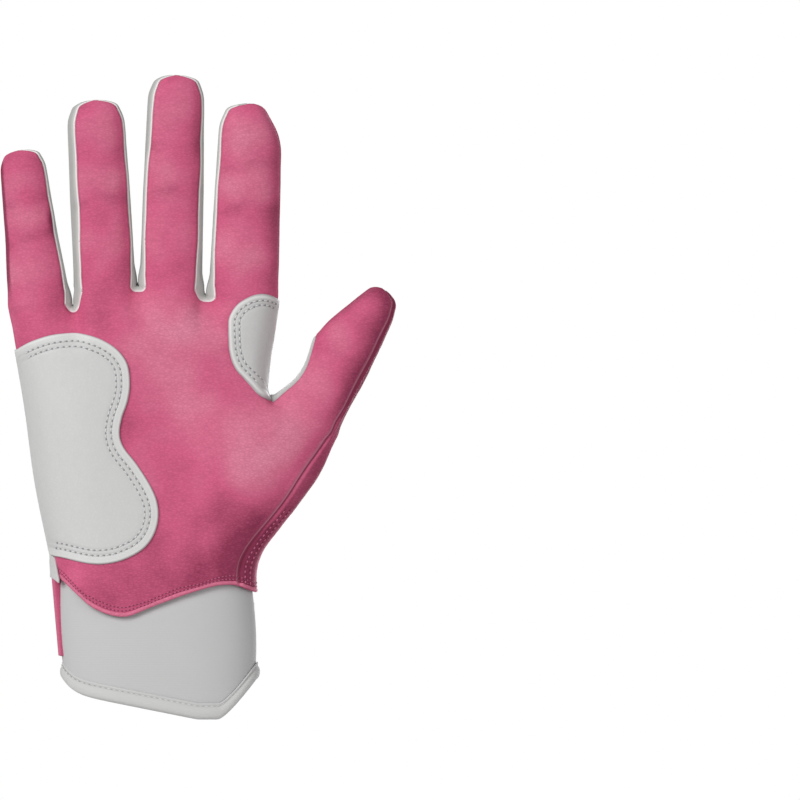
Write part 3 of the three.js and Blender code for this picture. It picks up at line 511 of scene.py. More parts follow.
wanted = read_points(cage_mesh)
points = wanted.copy()
for _ in range(SKIN_ROUNDS):
    cage_mesh.vertices.foreach_set("co", points.ravel())
    cage_mesh.update()
    points += wanted - read_points(evaluated(cage_object).data)[:len(wanted)]
cage_mesh.vertices.foreach_set("co", points.ravel())
cage_mesh.update()
skin_mesh = bpy.data.meshes.new_from_object(evaluated(cage_object))
bpy.data.objects.remove(cage_object)

skin = read_points(skin_mesh)
quads = np.array([p.vertices[:] for p in skin_mesh.polygons])
panel_of = np.empty(len(quads), dtype=np.int32)
skin_mesh.attributes["piece"].data.foreach_get("value", panel_of)
uv = np.empty(len(skin_mesh.loops) * 2)
skin_mesh.uv_layers["lattice"].data.foreach_get("uv", uv)
uv = uv.reshape(-1, 4, 2)
short = np.abs(wanted - skin[:len(wanted)]).max()
print("skin:", len(skin), "points", len(quads), "faces, left to go:", round(float(short), 3), "mm")

# %% [markdown]
# ## Seams, creases and pads
# Thread pulls the leather in along a seam and the turned edges swell beside it. Over a filled finger
# the leather folds a little at the joints and is full between them, and the palm swells over the ball
# of the thumb. A sculptor would push this in by hand. Here every point of the skin is moved along its
# own normal by a few simple bumps: one that falls off with the distance from the nearest seam, and
# others that sit at known places of the hand. Before that the skin is calmed where its cage was uneven,
# and the white walls of two fingers are drawn together at the bottom of the gap between them. The top
# end of the thumb's strip lies flush, so it is no seam here.

# %% Which faces belong to one piece of leather, and where the seams run
SEAM_GROUPS = (("strip", "strip"), ("web_", "white"), ("wall", "white"), ("front", "palm side"),
               ("palm", "palm side"))


def faces_where(test):
    """What a test says of the piece that each face belongs to."""
    return np.array([test(piece) for piece in piece_names])[panel_of]


def seam_group(piece):
    return next((group for mark, group in SEAM_GROUPS if mark in piece), "back side")


group_names = sorted({seam_group(piece) for piece in piece_names})
group_of = faces_where(lambda piece: group_names.index(seam_group(piece)))
corners = np.stack([quads, np.roll(quads, -1, axis=1)], axis=2).reshape(-1, 2)
order = np.lexsort((corners.max(axis=1), corners.min(axis=1)))
ends = np.sort(corners, axis=1)[order]
face_of_edge = np.repeat(np.arange(len(quads)), 4)[order]
twin = np.all(ends[1:] == ends[:-1], axis=1)
sewn = twin & (group_of[face_of_edge[1:]] != group_of[face_of_edge[:-1]])
seam_points = np.unique(ends[1:][sewn])
thumb_across, thumb_up = stall_axes(STALLS["thumb"])
on_thumb = skin[seam_points] - stall_origin(STALLS["thumb"])
strip_end = np.abs(on_thumb @ thumb_up - STRIP_TOP) < STRIP_END
strip_end &= np.abs(on_thumb @ thumb_across + along(STALLS["thumb"]["halves"], STRIP_TOP)) < STRIP_REACH
seam_points = seam_points[~strip_end]
wrapping = faces_where(lambda piece: piece == "side" or piece.startswith("thumb_back"))
fronting = faces_where(lambda piece: piece == "palm" or piece.startswith("thumb_front"))
one, two = face_of_edge[1:], face_of_edge[:-1]
outer_seam = sewn & ((wrapping[one] & fronting[two]) | (wrapping[two] & fronting[one]))
outer_seam_points = np.unique(ends[1:][outer_seam])
alone = np.ones(len(ends), bool)
alone[1:] &= ~twin
alone[:-1] &= ~twin
hem_points = np.unique(ends[alone])
print("seam points:", len(seam_points), "hem points:", len(hem_points))

# %% Helpers that measure and calm the skin
def skin_normals(points):
    out = np.cross(points[quads[:, 2]] - points[quads[:, 0]], points[quads[:, 3]] - points[quads[:, 1]])
    total = np.zeros_like(points)
    for k in range(4):
        for axis in range(3):
            total[:, axis] += np.bincount(quads[:, k], weights=out[:, axis], minlength=len(points))
    return total / np.linalg.norm(total, axis=1, keepdims=True)


def distance_to(ids):
    tree = KDTree(len(ids))
    for i, p in zip(ids, skin[ids]):
        tree.insert(p, int(i))
    tree.balance()
    return np.array([tree.find(p)[2] for p in skin])


def points_of(faces):
    made = np.zeros(len(skin), bool)
    made[np.unique(quads[faces])] = True
    return made


def relaxed(points, free, rounds):
    """Points drawn towards the mean of their neighbours, each as far as it is free."""
    joined = np.unique(ends, axis=0)
    degree = np.bincount(joined.ravel(), minlength=len(points))[:, None]
    for _ in range(rounds):
        total = np.zeros_like(points)
        for axis in range(3):
            for a, b in (joined.T, joined.T[::-1]):
                total[:, axis] += np.bincount(a, weights=points[b, axis], minlength=len(points))
        points = points + free[:, None] * (total / degree - points)
    return points


seam_far = distance_to(seam_points)
print("farthest from a seam:", round(float(seam_far.max()), 1), "mm")

# %% Calmer skin, and gaps that close at the bottom
# Rounds of calming and how far each one goes, and the distances at which the skin is free of a seam.
SKIN_CALMING, WEB_CALMING, CALM_STEP = 60, 50, 0.5
SEAM_HELD, HIDE_FREE, WALL_FREE = 0.8, 4.0, 2.5
# Where the thumb's base and the fronts of the webs are calmed.
THUMB_BASE, THUMB_BASE_FAR, THUMB_BASE_FADE = (67.0, 107.0), 24.0, 20.0
THUMB_BASE_DEPTH, THUMB_BASE_DEPTH_FADE = -2.0, 8.0
WEB_FAR, WEB_FADE, WEB_FACING = 5.0, 3.5, -0.3
# How far the gaps between the fingers close at their bottoms, how high up, and how wide they are.
GAP_CLOSING, GAP_HEIGHT, GAP_NEAR, GAP_FAR, GAP_MIDDLE, GAP_STEPS = 0.88, 8.0, 1.8, 3.8, 1.0, 5
outer_seam_far = distance_to(outer_seam_points)
hand_points = points_of(faces_where(lambda piece: piece in ("palm", "back")))
web_skin = points_of(faces_where(lambda piece: piece.startswith("web_")))
free = CALM_STEP * np.maximum(hand_points * ease((seam_far - SEAM_HELD) / HIDE_FREE), web_skin)
free[seam_points] = 0
free[hem_points] = 0
skin = relaxed(skin, free, SKIN_CALMING)
thumb_base_far = np.hypot(skin[:, 0] - THUMB_BASE[0], skin[:, 2] - THUMB_BASE[1])
free = CALM_STEP * ease((THUMB_BASE_FAR - thumb_base_far) / THUMB_BASE_FADE)
free *= ease((skin[:, 1] - THUMB_BASE_DEPTH) / THUMB_BASE_DEPTH_FADE)
skin = relaxed(skin, free, SKIN_CALMING)
at_seam = np.isin(np.arange(len(skin)), seam_points)
web_front = np.flatnonzero(web_skin & at_seam & (skin_normals(skin)[:, 1] < WEB_FACING))
skin = relaxed(skin, CALM_STEP * ease((WEB_FAR - distance_to(web_front)) / WEB_FADE), WEB_CALMING)
white = points_of(group_of == group_names.index("white"))
for left, right in zip(FINGERS, FINGERS[1:]):
    middle = np.zeros(len(skin))
    for name, edge in ((left, 1.0), (right, -1.0)):
        levels = np.linspace(0, 2 * GAP_HEIGHT, GAP_STEPS)
        line = np.array([stall_point(STALLS[name], h, edge, 1) for h in levels])
        middle += np.interp(skin[:, 2], line[:, 2], line[:, 0]) / 2
    aside = skin[:, 0] - middle
    web = points_of(panel_of == piece_names.index(f"web_{left}_{right}"))
    bottom = skin[web & (np.abs(aside) < GAP_MIDDLE), 2].max()
    closing = white * ease((seam_far - SEAM_HELD) / WALL_FREE)
    closing *= ease((GAP_FAR - np.abs(aside)) / (GAP_FAR - GAP_NEAR))
    closing *= GAP_CLOSING * ease(1 - (skin[:, 2] - bottom) / GAP_HEIGHT)
    skin[:, 0] -= aside * closing
    print(f"gap {left} {right}: bottom at", round(float(bottom), 1), "mm")

# %% Bumps that shape the skin
SEAM_DEPTH, SEAM_WIDTH = 0.45, 0.7
SEAM_ROLL, SEAM_ROLL_AT, SEAM_ROLL_WIDTH = 0.25, 1.5, 0.7
# Folds at the joints: they come and go, bow down at the sides, and are weaker near the tip and on the thumb.
CREASE_DEPTH, CREASE_WIDTH, TIP_CREASE, THUMB_CREASE = 0.16, 2.6, 0.7, 0.35
CREASE_BOW, CREASE_SLANT = 1.5, 2.0
PATCHY_SIZE, PATCHY_MEAN, PATCHY_SWING = 8.0, 0.55, 1.3
# Pads between the folds. The joint near the tip and the last pad are shares of the length left.
PAD_HEIGHT, PAD_WIDTH, TIP_JOINT, TIP_PAD = 0.35, 6.5, 0.42, 0.45
# The thumb's side of every stall is painted deeper: a painted shade for the side that turns from the light.
SIDE_SHADES = {"little": 0.25, "ring": 0.45, "middle": 0.6, "index": 0.42, "thumb": 0.7}
SIDE_SHADE_RISE, SIDE_SHADE_FROM, SIDE_SHADE_FADE = 14.0, 0.45, 0.5
# Painted shade on the little finger: along its outer edge, and as two painted fold shadows across its
# other side: (height, width) each.
EDGE_SHADE, EDGE_SHADE_FROM, EDGE_SHADE_FADE = 0.9, 0.82, 0.1
EDGE_FACING, EDGE_FACING_FADE = 0.45, 0.4
SIDE_FOLD_SHADOWS, SIDE_FOLD_SHADOW_FROM, SIDE_FOLD_SHADOW_FADE = ((32, 4), (5, 5)), 0.62, 0.2
PALM_FACING = 1.6
PALM_FORMS = (  # x, z, half width, half height, swell
    (34, 98, 18, 20, 2.0), (50, 112, 13, 15, 1.0), (-30, 96, 16, 30, 1.2), (4, 112, 18, 20, -2.0),
    (26, 66, 13, 13, -1.1), (8, 74, 14, 18, -1.0), (-36, 151, 9, 5, 0.4), (-12, 154, 9, 6, 0.5),
    (10, 154, 9, 6, 0.5), (32, 150, 9, 7, 0.4),
)
MOTTLE_SIZE, MOTTLE_HEIGHT, WHITE_MOTTLE, MOTTLE_FROM_SEAM = 11.0, 0.24, 0.2, 2.0
WRINKLE_SIZE, WRINKLE_HEIGHT = (7.0, 7.0, 1.7), 0.06


def bump(distance, width):
    return np.exp(-(distance / width) ** 2)


def speckle_of(size):
    """Smooth noise at every point of the skin, with features of a size in millimetres."""
    return np.array([noise.noise(Vector(p / np.array(size))) for p in skin])


def palm_fields(fields):
    """The sum of soft round fields on the palm side, one row of numbers for each."""
    total = np.zeros(len(skin))
    for x, z, wide, tall, value in fields:
        total += palmward * value * bump(skin[:, 0] - x, wide) * bump(skin[:, 2] - z, tall)
    return total


print("forms of the palm:", len(PALM_FORMS))

# %% The skin is moved
normals = skin_normals(skin)
palmward = ease(-normals[:, 1] * PALM_FACING)
patchy = np.clip(PATCHY_MEAN + PATCHY_SWING * speckle_of(PATCHY_SIZE), 0, 1)
crease, pad, side_shade, little_edge_shade = np.zeros((4, len(skin)))
for name, stall in STALLS.items():
    across, up = stall_axes(stall)
    mine = points_of(faces_where(lambda piece: piece.startswith(name)))
    from_base = skin - stall_origin(stall)
    height = from_base @ up
    side = from_base @ across / along(stall["halves"], 0)
    tip_joint = mix(stall["joint"], stall["length"], TIP_JOINT)
    bow = CREASE_BOW * side ** 2 - CREASE_SLANT * side
    depth = THUMB_CREASE if name == "thumb" else 1.0
    for place, share in ((stall["joint"], 1.0), (tip_joint, TIP_CREASE)):
        crease += mine * patchy * share * depth * bump(height - place + bow, CREASE_WIDTH)
    tip_pad = mix(tip_joint, stall["length"], TIP_PAD)
    for place in (stall["joint"] / 2, mix(stall["joint"], tip_joint, 0.5), tip_pad):
        pad += mine * bump(height - place, PAD_WIDTH)
    local = from_base @ across / along(stall["halves"], height)
    mine = mine * ease(height / SIDE_SHADE_RISE)
    side_shade -= SIDE_SHADES[name] * mine * ease((local - SIDE_SHADE_FROM) / SIDE_SHADE_FADE)
    if name == "little":
        little_edge_shade += EDGE_SHADE * mine * ease((-local - EDGE_SHADE_FROM) / EDGE_SHADE_FADE)
        little_edge_shade *= ease((EDGE_FACING - normals[:, 1]) / EDGE_FACING_FADE)
        fold_shadows = sum(bump(height - place, width) for place, width in SIDE_FOLD_SHADOWS)
        little_edge_shade += mine * ease((local - SIDE_FOLD_SHADOW_FROM) / SIDE_FOLD_SHADOW_FADE) * fold_shadows
form = palm_fields(PALM_FORMS)
calm_skin = skin + normals * form[:, None]
calm_normals = skin_normals(calm_skin)
mottle = MOTTLE_HEIGHT * speckle_of(MOTTLE_SIZE) + WRINKLE_HEIGHT * speckle_of(WRINKLE_SIZE)
lift = form - SEAM_DEPTH * bump(seam_far, SEAM_WIDTH)
lift += SEAM_ROLL * bump(seam_far - SEAM_ROLL_AT, SEAM_ROLL_WIDTH)
lift += palmward * (PAD_HEIGHT * pad - CREASE_DEPTH * crease)
lift += np.where(white, WHITE_MOTTLE, 1.0) * (1 - bump(seam_far, MOTTLE_FROM_SEAM)) * mottle
skin = skin + normals * lift[:, None]
normals = skin_normals(skin)
print("skin moved by", round(float(lift.min()), 2), "to", round(float(lift.max()), 2), "mm")

# %% [markdown]
# ## Cutting the skin into panels
# Each panel of the pattern becomes its own closed sheet: the skin's faces, the same faces moved in by
# the leather's thickness, and a rim between the two. The smooth normals of the whole skin are kept on
# the outer faces, so where one hide carries on across a joint, the cut cannot be seen. Three numbers go
# with every point for the leather's colour. Its tone is paler over the pads and varies at random, and it
# also holds painted highlights and painted shade where the hand faces the light or turns from it. Its
# shade is painted shade in seams and folds, and its edge highlight is a painted highlight along a seam.

# %% Tone with painted light, painted shade and painted edge highlights of every point
# Painted light and shade on the palm: a positive tone is a painted highlight where the palm faces the light,
# a negative one a painted shade where it turns away.
PALM_LIGHT_AND_SHADE = (  # x, z, half width, half height, tone
    (50, 111, 15, 14, 0.8), (36, 96, 17, 12, 0.6), (8, 148, 17, 12, 0.6), (8, 122, 14, 14, 0.35),
    (10, 57, 30, 12, -0.55), (-17, 47, 18, 9, -0.4), (31, 59, 9, 15, -0.8), (30, 76, 13, 10, -0.4),
    (83, 156, 10, 9, -0.35),
)
TONE_NOISE = ((24.0, 0.35), (9.0, 0.3))
PAD_TONE = 0.3
# Painted shade: a deeper band on both sides of the thumb's outer seam, wider where the side turns from the
# light.
BAND_SHADE, BAND_WIDTH = 0.7, 6.5
BAND_FACING, BAND_FAR, BAND_FADE = 1.5, 13.0, 7.0
SEAM_SHADE, SEAM_SHADE_WIDTH, CREASE_SHADE = 0.4, 0.9, 0.3
# Painted highlights along edges: the knit at its seams, and the leather just beside the thumb's outer seam.
KNIT_HIGHLIGHT, KNIT_HIGHLIGHT_WIDTH = 0.9, 0.7
HIDE_HIGHLIGHT, HIDE_HIGHLIGHT_AT, HIDE_HIGHLIGHT_WIDTH = 0.6, 0.8, 0.5
tone_and_painted_light = PAD_TONE * palmward * pad + side_shade + sum(share * speckle_of(size) for size, share in TONE_NOISE)
tone_and_painted_light += palm_fields(PALM_LIGHT_AND_SHADE)
tone_and_painted_light -= BAND_SHADE * points_of(fronting) * bump(outer_seam_far, BAND_WIDTH)
side_band_shade = ease(normals[:, 0] * BAND_FACING) * ease((BAND_FAR - outer_seam_far) / BAND_FADE)
tone_and_painted_light -= BAND_SHADE * points_of(wrapping) * side_band_shade
tone_and_painted_light = np.clip(tone_and_painted_light, -1, 1)
shade = SEAM_SHADE * bump(seam_far, SEAM_SHADE_WIDTH) * ~white + CREASE_SHADE * palmward * crease
shade = np.clip(shade + little_edge_shade, 0, 1)
hide_highlight = HIDE_HIGHLIGHT * points_of(fronting) * bump(outer_seam_far - HIDE_HIGHLIGHT_AT, HIDE_HIGHLIGHT_WIDTH)
edge_highlight = np.where(white, KNIT_HIGHLIGHT * bump(seam_far, KNIT_HIGHLIGHT_WIDTH), hide_highlight)
print("tone from", round(float(tone_and_painted_light.min()), 2), "to", round(float(tone_and_painted_light.max()), 2))

# %% From faces to a closed sheet
def new_piece(name, points, faces, material=None, loop_normals=None, numbers=None):
    """A mesh object from points in millimetres, at the origin, smooth shaded."""
    mesh = bpy.data.meshes.new(name)
    mesh.from_pydata((np.asarray(points) * MM).tolist(), [], [list(map(int, f)) for f in faces])
    mesh.polygons.foreach_set("use_smooth", [True] * len(mesh.polygons))
    for label, values in (numbers or {}).items():
        made = mesh.attributes.new(label, "FLOAT", "POINT")
        made.data.foreach_set("value", np.asarray(values, np.float32))
    if loop_normals is not None:
        mesh.normals_split_custom_set(loop_normals)
    if material:
        mesh.materials.append(material)
    piece = bpy.data.objects.new(name, mesh)
    bpy.context.collection.objects.link(piece)
    return piece


def closed_sheet(faces, outer, inner):
    """Faces of a sheet with its second side and its rim. Points are outer ones, then inner ones."""
    count = len(outer)
    edges = np.stack([faces, np.roll(faces, -1, axis=1)], axis=2).reshape(-1, 2)
    known = {tuple(e) for e in edges.tolist()}
    rim = np.array([(b, a, a + count, b + count) for a, b in edges.tolist() if (b, a) not in known])
    return np.vstack([outer, inner]), np.vstack([faces, faces[:, ::-1] + count, rim]), rim


def grid_quads(points):
    """Four-sided faces over a grid of points in rows and columns."""
    ids = np.arange(points.size // 3).reshape(points.shape[:2])
    return np.stack([ids[:-1, :-1], ids[:-1, 1:], ids[1:, 1:], ids[1:, :-1]], axis=2).reshape(-1, 4)


def ring_faces(rings, size, closed=False):
    """Four-sided faces between rings of points that follow one another."""
    faces = []
    for i in range(rings if closed else rings - 1):
        j = (i + 1) % rings
        for k in range(size):
            n = (k + 1) % size
            faces.append((i * size + k, i * size + n, j * size + n, j * size + k))
    return faces


def panel_sheet(name, panel, thickness, material):
    """One panel of the skin as a closed sheet that keeps the whole skin's normals."""
    faces = quads[panel_of == piece_names.index(panel)]
    used, inverse = np.unique(faces, return_inverse=True)
    faces = inverse.reshape(-1, 4)
    outer, out = skin[used], normals[used]
    points, all_faces, rim = closed_sheet(faces, outer, outer - out * thickness)
    flat = unit(np.cross(points[rim[:, 1]] - points[rim[:, 0]], points[rim[:, 2]] - points[rim[:, 0]]))
    loops = [out[faces].reshape(-1, 3), -out[faces[:, ::-1]].reshape(-1, 3), np.repeat(flat, 4, axis=0)]
    fields = {"tone_and_painted_light": tone_and_painted_light, "shade": shade, "edge_highlight": edge_highlight}
    numbers = {label: np.tile(values[used], 2) for label, values in fields.items()}
    return new_piece(name, points, all_faces, material, np.vstack(loops).tolist(), numbers)


print("panels:", len(piece_names))

# %% [markdown]
# ## Finishes
# Thin glove leather is sheepskin with a pigmented finish: matt to silky, a fine pebble grain, and
# short creases that lie across the fingers because that is how they bend. The white patches are a
# thicker, smoother hide. The strips between the fingers are a stretch knit, the cuff is a smooth
# jersey glued to thin foam, and the strap is woven webbing. All patterns are driven by the piece's own
# coordinates in metres, so a pattern of so many millimetres has a scale of a thousand over that size.

# %% Surface recipe shared by the finishes
FINISH_IOR, SHEEN_ROUGHNESS = 1.48, 0.5
MIX_FACTOR, MIX_A, MIX_B, MIX_RESULT = 0, 6, 7, 2


def surface(tree, colour, roughness, height, depth_mm, strength=0.6, specular=0.35, sheen=0.0):
    """The end of every recipe: one shader, with a relief of some millimetres."""
    relief = put(tree, "ShaderNodeBump", {"Height": height, "Strength": strength, "Distance": depth_mm * MM})
    shader = put(tree, "ShaderNodeBsdfPrincipled", {
        "Base Color": colour, "Roughness": roughness, "IOR": FINISH_IOR, "Specular IOR Level": specular,
        "Sheen Weight": sheen, "Sheen Roughness": SHEEN_ROUGHNESS, "Normal": relief})
    put(tree, "ShaderNodeOutputMaterial", {"Surface": shader})


def per_mm(size):
    return 1.0 / (size * MM)


print("a pattern of 1 mm has a scale of", round(per_mm(1.0)))

# %% Pink leather
# Sheepskin with a pink pigment coat: silky, paler and deeper by its tone, which holds stretch, random
# tone, painted highlights and painted shade, with painted shade in seams, folds, short fine creases and
# the grain's valleys, a painted highlight along some seams, and a grain that is drawn a little coarser
# than life so that it still shows.
GRAIN_RELIEF, RELIEF_STRENGTH, GLOSS_SWING = -2.0, 0.32, 0.06


def leather(name, plain, pale, deep, highlight_colour, grain_mm=(1.7, 1.7, 0.8), crease_mm=(3.2, 3.2, 1.1),
            crease_shade_share=0.13, grained=0.2, roughness=0.66, relief_mm=0.11, specular=0.14):
    material, tree = new_material(name)
    place = put(tree, "ShaderNodeTexCoord").outputs["Object"]
    given = {}
    for label in ("tone_and_painted_light", "shade", "edge_highlight"):
        given[label] = put(tree, "ShaderNodeAttribute", attribute_name=label).outputs["Fac"]
    stretched = put(tree, "ShaderNodeMapping", {"Vector": place, "Scale": [per_mm(s) for s in crease_mm]})
    creases = put(tree, "ShaderNodeTexNoise", {
        "Vector": stretched, "Scale": 1.0, "Detail": 4.0, "Roughness": 0.62}).outputs["Fac"]
    pebbles = put(tree, "ShaderNodeMapping", {"Vector": place, "Scale": [per_mm(s) for s in grain_mm]})
    grain = put(tree, "ShaderNodeTexVoronoi", {"Vector": pebbles, "Scale": 1.0}, feature="DISTANCE_TO_EDGE")
    # The grain's valleys and, further down, the creases' troughs are painted darker: painted shade on top of
    # their bump.
    valleys = put(tree, "ShaderNodeMapRange", {
        "Value": grain.outputs["Distance"], "From Max": 0.28, "To Min": grained, "To Max": 0.0})
    # Paler and deeper by the tone, which also holds painted highlights and painted shade.
    taut_and_lit = put(tree, "ShaderNodeMapRange", {"Value": given["tone_and_painted_light"]})
    slack_and_shaded = put(tree, "ShaderNodeMapRange", {"Value": given["tone_and_painted_light"], "From Max": -1.0, "To Max": 0.8})
    lines = put(tree, "ShaderNodeMapRange", {
        "Value": creases, "From Min": 0.35, "From Max": 0.65, "To Min": crease_shade_share, "To Max": 0.0})
    dark = valleys
    for other in (lines, given["shade"], slack_and_shaded):
        dark = put(tree, "ShaderNodeMath", {0: dark, 1: other}, operation="ADD", use_clamp=True)
    colour = linear(plain)
    for share, other in ((taut_and_lit, pale), (dark, deep), (given["edge_highlight"], highlight_colour)):
        coats = {MIX_FACTOR: share, MIX_A: colour, MIX_B: linear(other)}
        colour = put(tree, "ShaderNodeMix", coats, data_type="RGBA").outputs[MIX_RESULT]
    height = put(tree, "ShaderNodeMath", {0: valleys, 1: GRAIN_RELIEF, 2: creases}, operation="MULTIPLY_ADD")
    gloss = put(tree, "ShaderNodeMapRange", {
        "Value": creases, "From Min": 0.3, "From Max": 0.7, "To Min": roughness + GLOSS_SWING,
        "To Max": roughness - GLOSS_SWING})
    surface(tree, colour, gloss, height, relief_mm, RELIEF_STRENGTH, specular)
    return material


PINK_LEATHER = leather("pink pigmented sheepskin", "#CE5F83", "#DC8AA1", "#86314E", "#DE93AA")
# White hide for the patches: closer grain, no direction, almost no creases, a little more shine.
WHITE_LEATHER = leather(
    "white pigmented cowhide", "#C3C3C2", "#CFCFCE", "#868688", "#DCDCDB", grain_mm=(1.3, 1.3, 1.3),
    crease_mm=(2.6, 2.6, 2.6), crease_shade_share=0.03, grained=0.06, roughness=0.5, relief_mm=0.08, specular=0.25)
print("leathers:", PINK_LEATHER.name, "and", WHITE_LEATHER.name)

# %% Stretch knit, cuff jersey, binding tape and webbing
# Fine ribs, soft and matt. Knit and weave are drawn about twice as coarse as life, 0.8 to 1.5 mm from rib
# to rib, so that they still show. A wave texture has twenty radians in each unit of length, which is why
# its scale holds a turn over twenty.
WAVE_RADIANS = 20
FUZZ_MM, CLOUD_MM, RIB_WAVER_MM = 0.7, 12.0, 3.0
CLOUD_SHARE, RIB_SHARE = 0.1, 0.6


def ribbed_cloth(name, plain, deep, highlight_colour, rib_mm, direction, roughness, relief_mm, sheen):
    material, tree = new_material(name)
    place = put(tree, "ShaderNodeTexCoord").outputs["Object"]
    given = {}
    for label in ("shade", "edge_highlight"):
        given[label] = put(tree, "ShaderNodeAttribute", attribute_name=label).outputs["Fac"]
    ribs = put(tree, "ShaderNodeTexWave", {
        "Vector": place, "Scale": math.tau / WAVE_RADIANS * per_mm(rib_mm), "Distortion": 0.6, "Detail": 1.0,
        "Detail Scale": per_mm(RIB_WAVER_MM)}, bands_direction=direction)
    fuzz = put(tree, "ShaderNodeTexNoise", {"Vector": place, "Scale": per_mm(FUZZ_MM), "Detail": 3.0})
    cloudy = put(tree, "ShaderNodeTexNoise", {"Vector": place, "Scale": per_mm(CLOUD_MM), "Detail": 2.0})
    dark = put(tree, "ShaderNodeMath", {0: cloudy.outputs["Fac"], 1: CLOUD_SHARE, 2: given["shade"]},
               operation="MULTIPLY_ADD", use_clamp=True)
    colour = linear(plain)
    for share, other in ((dark, deep), (given["edge_highlight"], highlight_colour)):
        coats = {MIX_FACTOR: share, MIX_A: colour, MIX_B: linear(other)}
        colour = put(tree, "ShaderNodeMix", coats, data_type="RGBA").outputs[MIX_RESULT]
    height = put(tree, "ShaderNodeMath", {0: ribs.outputs["Fac"], 1: RIB_SHARE, 2: fuzz.outputs["Fac"]},
                 operation="MULTIPLY_ADD")
    surface(tree, colour, roughness, height, relief_mm, sheen=sheen, specular=0.2)
    return material


# Warp knit between the fingers: ribs along the strip. Its white is painted grey, a painted shade for the
# deep gaps it lines, with a painted highlight along its edges.
STRETCH_KNIT = ribbed_cloth("white stretch knit", "#ADAEAB", "#939391", "#E8E8E6", rib_mm=1.3, direction="Y",
                            roughness=0.85, relief_mm=0.08, sheen=0.15)
# Jersey over foam: almost smooth, so the cuff reads as one calm white band.
CUFF_JERSEY = ribbed_cloth("white jersey on foam", "#BABABA", "#A2A2A4", "#CFCFCF", rib_mm=0.9, direction="Z",
                           roughness=0.75, relief_mm=0.03, sheen=0.1)
# Tape: a slanting weave, which tells it from the jersey.
BINDING_TAPE = ribbed_cloth("white woven tape", "#BFBFBE", "#9A9A9A", "#D6D6D6", rib_mm=1.1,
                            direction="DIAGONAL", roughness=0.7, relief_mm=0.05, sheen=0.1)
# Webbing: the coarsest ribs, across the strap, with the most shine.
PINK_WEBBING = ribbed_cloth("pink woven webbing", "#C4597C", "#8E3A55", "#D27F98", rib_mm=1.5, direction="Z",
                            roughness=0.65, relief_mm=0.14, sheen=0.1)
# Nylon pile: pale, matt and soft at grazing angles.
NYLON_PILE = ribbed_cloth("white nylon pile", "#D4D4D2", "#AAAAAA", "#E4E4E2", rib_mm=0.8, direction="Z",
                          roughness=0.8, relief_mm=0.1, sheen=0.2)
cloths = (STRETCH_KNIT, CUFF_JERSEY, BINDING_TAPE, PINK_WEBBING, NYLON_PILE)
print("cloths:", [cloth.name for cloth in cloths])

# %% Thread and needle holes
# Sewing thread is a twist of filaments, so it is satiny and a little uneven in colour. A needle hole
# is drawn as a flat dark bead: a painted shadow in the hole.
THREAD_TWIST_MM, THREAD_RELIEF_MM = 0.4, 0.05


def twisted_thread(name, plain, deep, roughness=0.5):
    material, tree = new_material(name)
    place = put(tree, "ShaderNodeTexCoord").outputs["Object"]
    twist = put(tree, "ShaderNodeTexNoise", {
        "Vector": place, "Scale": per_mm(THREAD_TWIST_MM), "Detail": 2.0}).outputs["Fac"]
    coats = {MIX_FACTOR: twist, MIX_A: linear(plain), MIX_B: linear(deep)}
    colour = put(tree, "ShaderNodeMix", coats, data_type="RGBA").outputs[MIX_RESULT]
    surface(tree, colour, roughness, twist, THREAD_RELIEF_MM)
    return material


WHITE_THREAD = twisted_thread("white bonded thread", "#DADAD8", "#BDBDBD")
PINK_THREAD = twisted_thread("pink bonded thread", "#C2688A", "#A94C6D")
GREY_HOLE_SHADOW = twisted_thread("needle hole in white hide", "#959598", "#838386", 0.9)
PINK_HOLE_SHADOW = twisted_thread("needle hole in pink hide", "#85364F", "#712B42", 0.9)
print("finishes:", len(bpy.data.materials))

# %% [markdown]
# ## Panels on their bodies
# The hand's own panels ride on the hand. The lower part of each stall crosses the knuckle's bend line
# and the upper part crosses the middle joint. Here the stall pieces are only set in place in the
# glove's frame, with no blend between bodies.


def sits_on(piece, slot, *nodes, body="hand"):
    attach(piece, body)
    if nodes:
        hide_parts(*nodes)
    return piece


def stall_blend(piece):
    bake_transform(piece)


for name, panel, node in (("palm_leather", "palm", "palm_panel"), ("back_leather", "back", "back_panel"),
                          ("thumb_side_leather", "side", "thumb_side_panel")):
    sits_on(panel_sheet(name, panel, LEATHER, PINK_LEATHER), "palm_leather", node)
for left, right in zip(FINGERS, FINGERS[1:]):
    web = panel_sheet(f"web_strip_{left}_{right}", f"web_{left}_{right}", KNIT, STRETCH_KNIT)
    sits_on(web, "stretch_knit", f"fourchette_{left}_{right}")
for piece in [p for p in piece_names if p.split("_")[0] in STALLS]:
    name, half = piece.split("_")[0], piece.split("_")[-1]
    panel = piece[len(name) + 1:-len(half) - 1]
    material, slot = {
        "front": (PINK_LEATHER, "palm_leather"), "back": (PINK_LEATHER, "palm_leather"),
        "strip": (WHITE_LEATHER, "patch_leather")}.get(panel, (STRETCH_KNIT, "stretch_knit"))
    sheet = panel_sheet(f"{piece}_skin", piece, LEATHER if material != STRETCH_KNIT else KNIT, material)
    stall_blend(sheet)
    node = "thumb_web_strip" if piece == "thumb_strip_lower" else piece
    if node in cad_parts:
        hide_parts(node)
print("skin pieces:", len(piece_names))

# %% [markdown]
# ## A map of the palm
# Patches, stitches and hems lie on the skin, and they are easiest to draw flat, as the photograph
# shows them: so far across, so far up. The cage was laid out in rows and columns, and those numbers
# were stored as a UV map, so the skin can be read back as a chart: a row and a column give a point and
# its outward direction. A ray shot at the palm from the front finds the row and column for a place in
# the picture.

# %% Charts of the skin and how to read them
FINE = 2 ** SKIN_LEVELS
RAY_START = -200.0
TRIANGLES = ([0, 1, 2], [0, 2, 3])


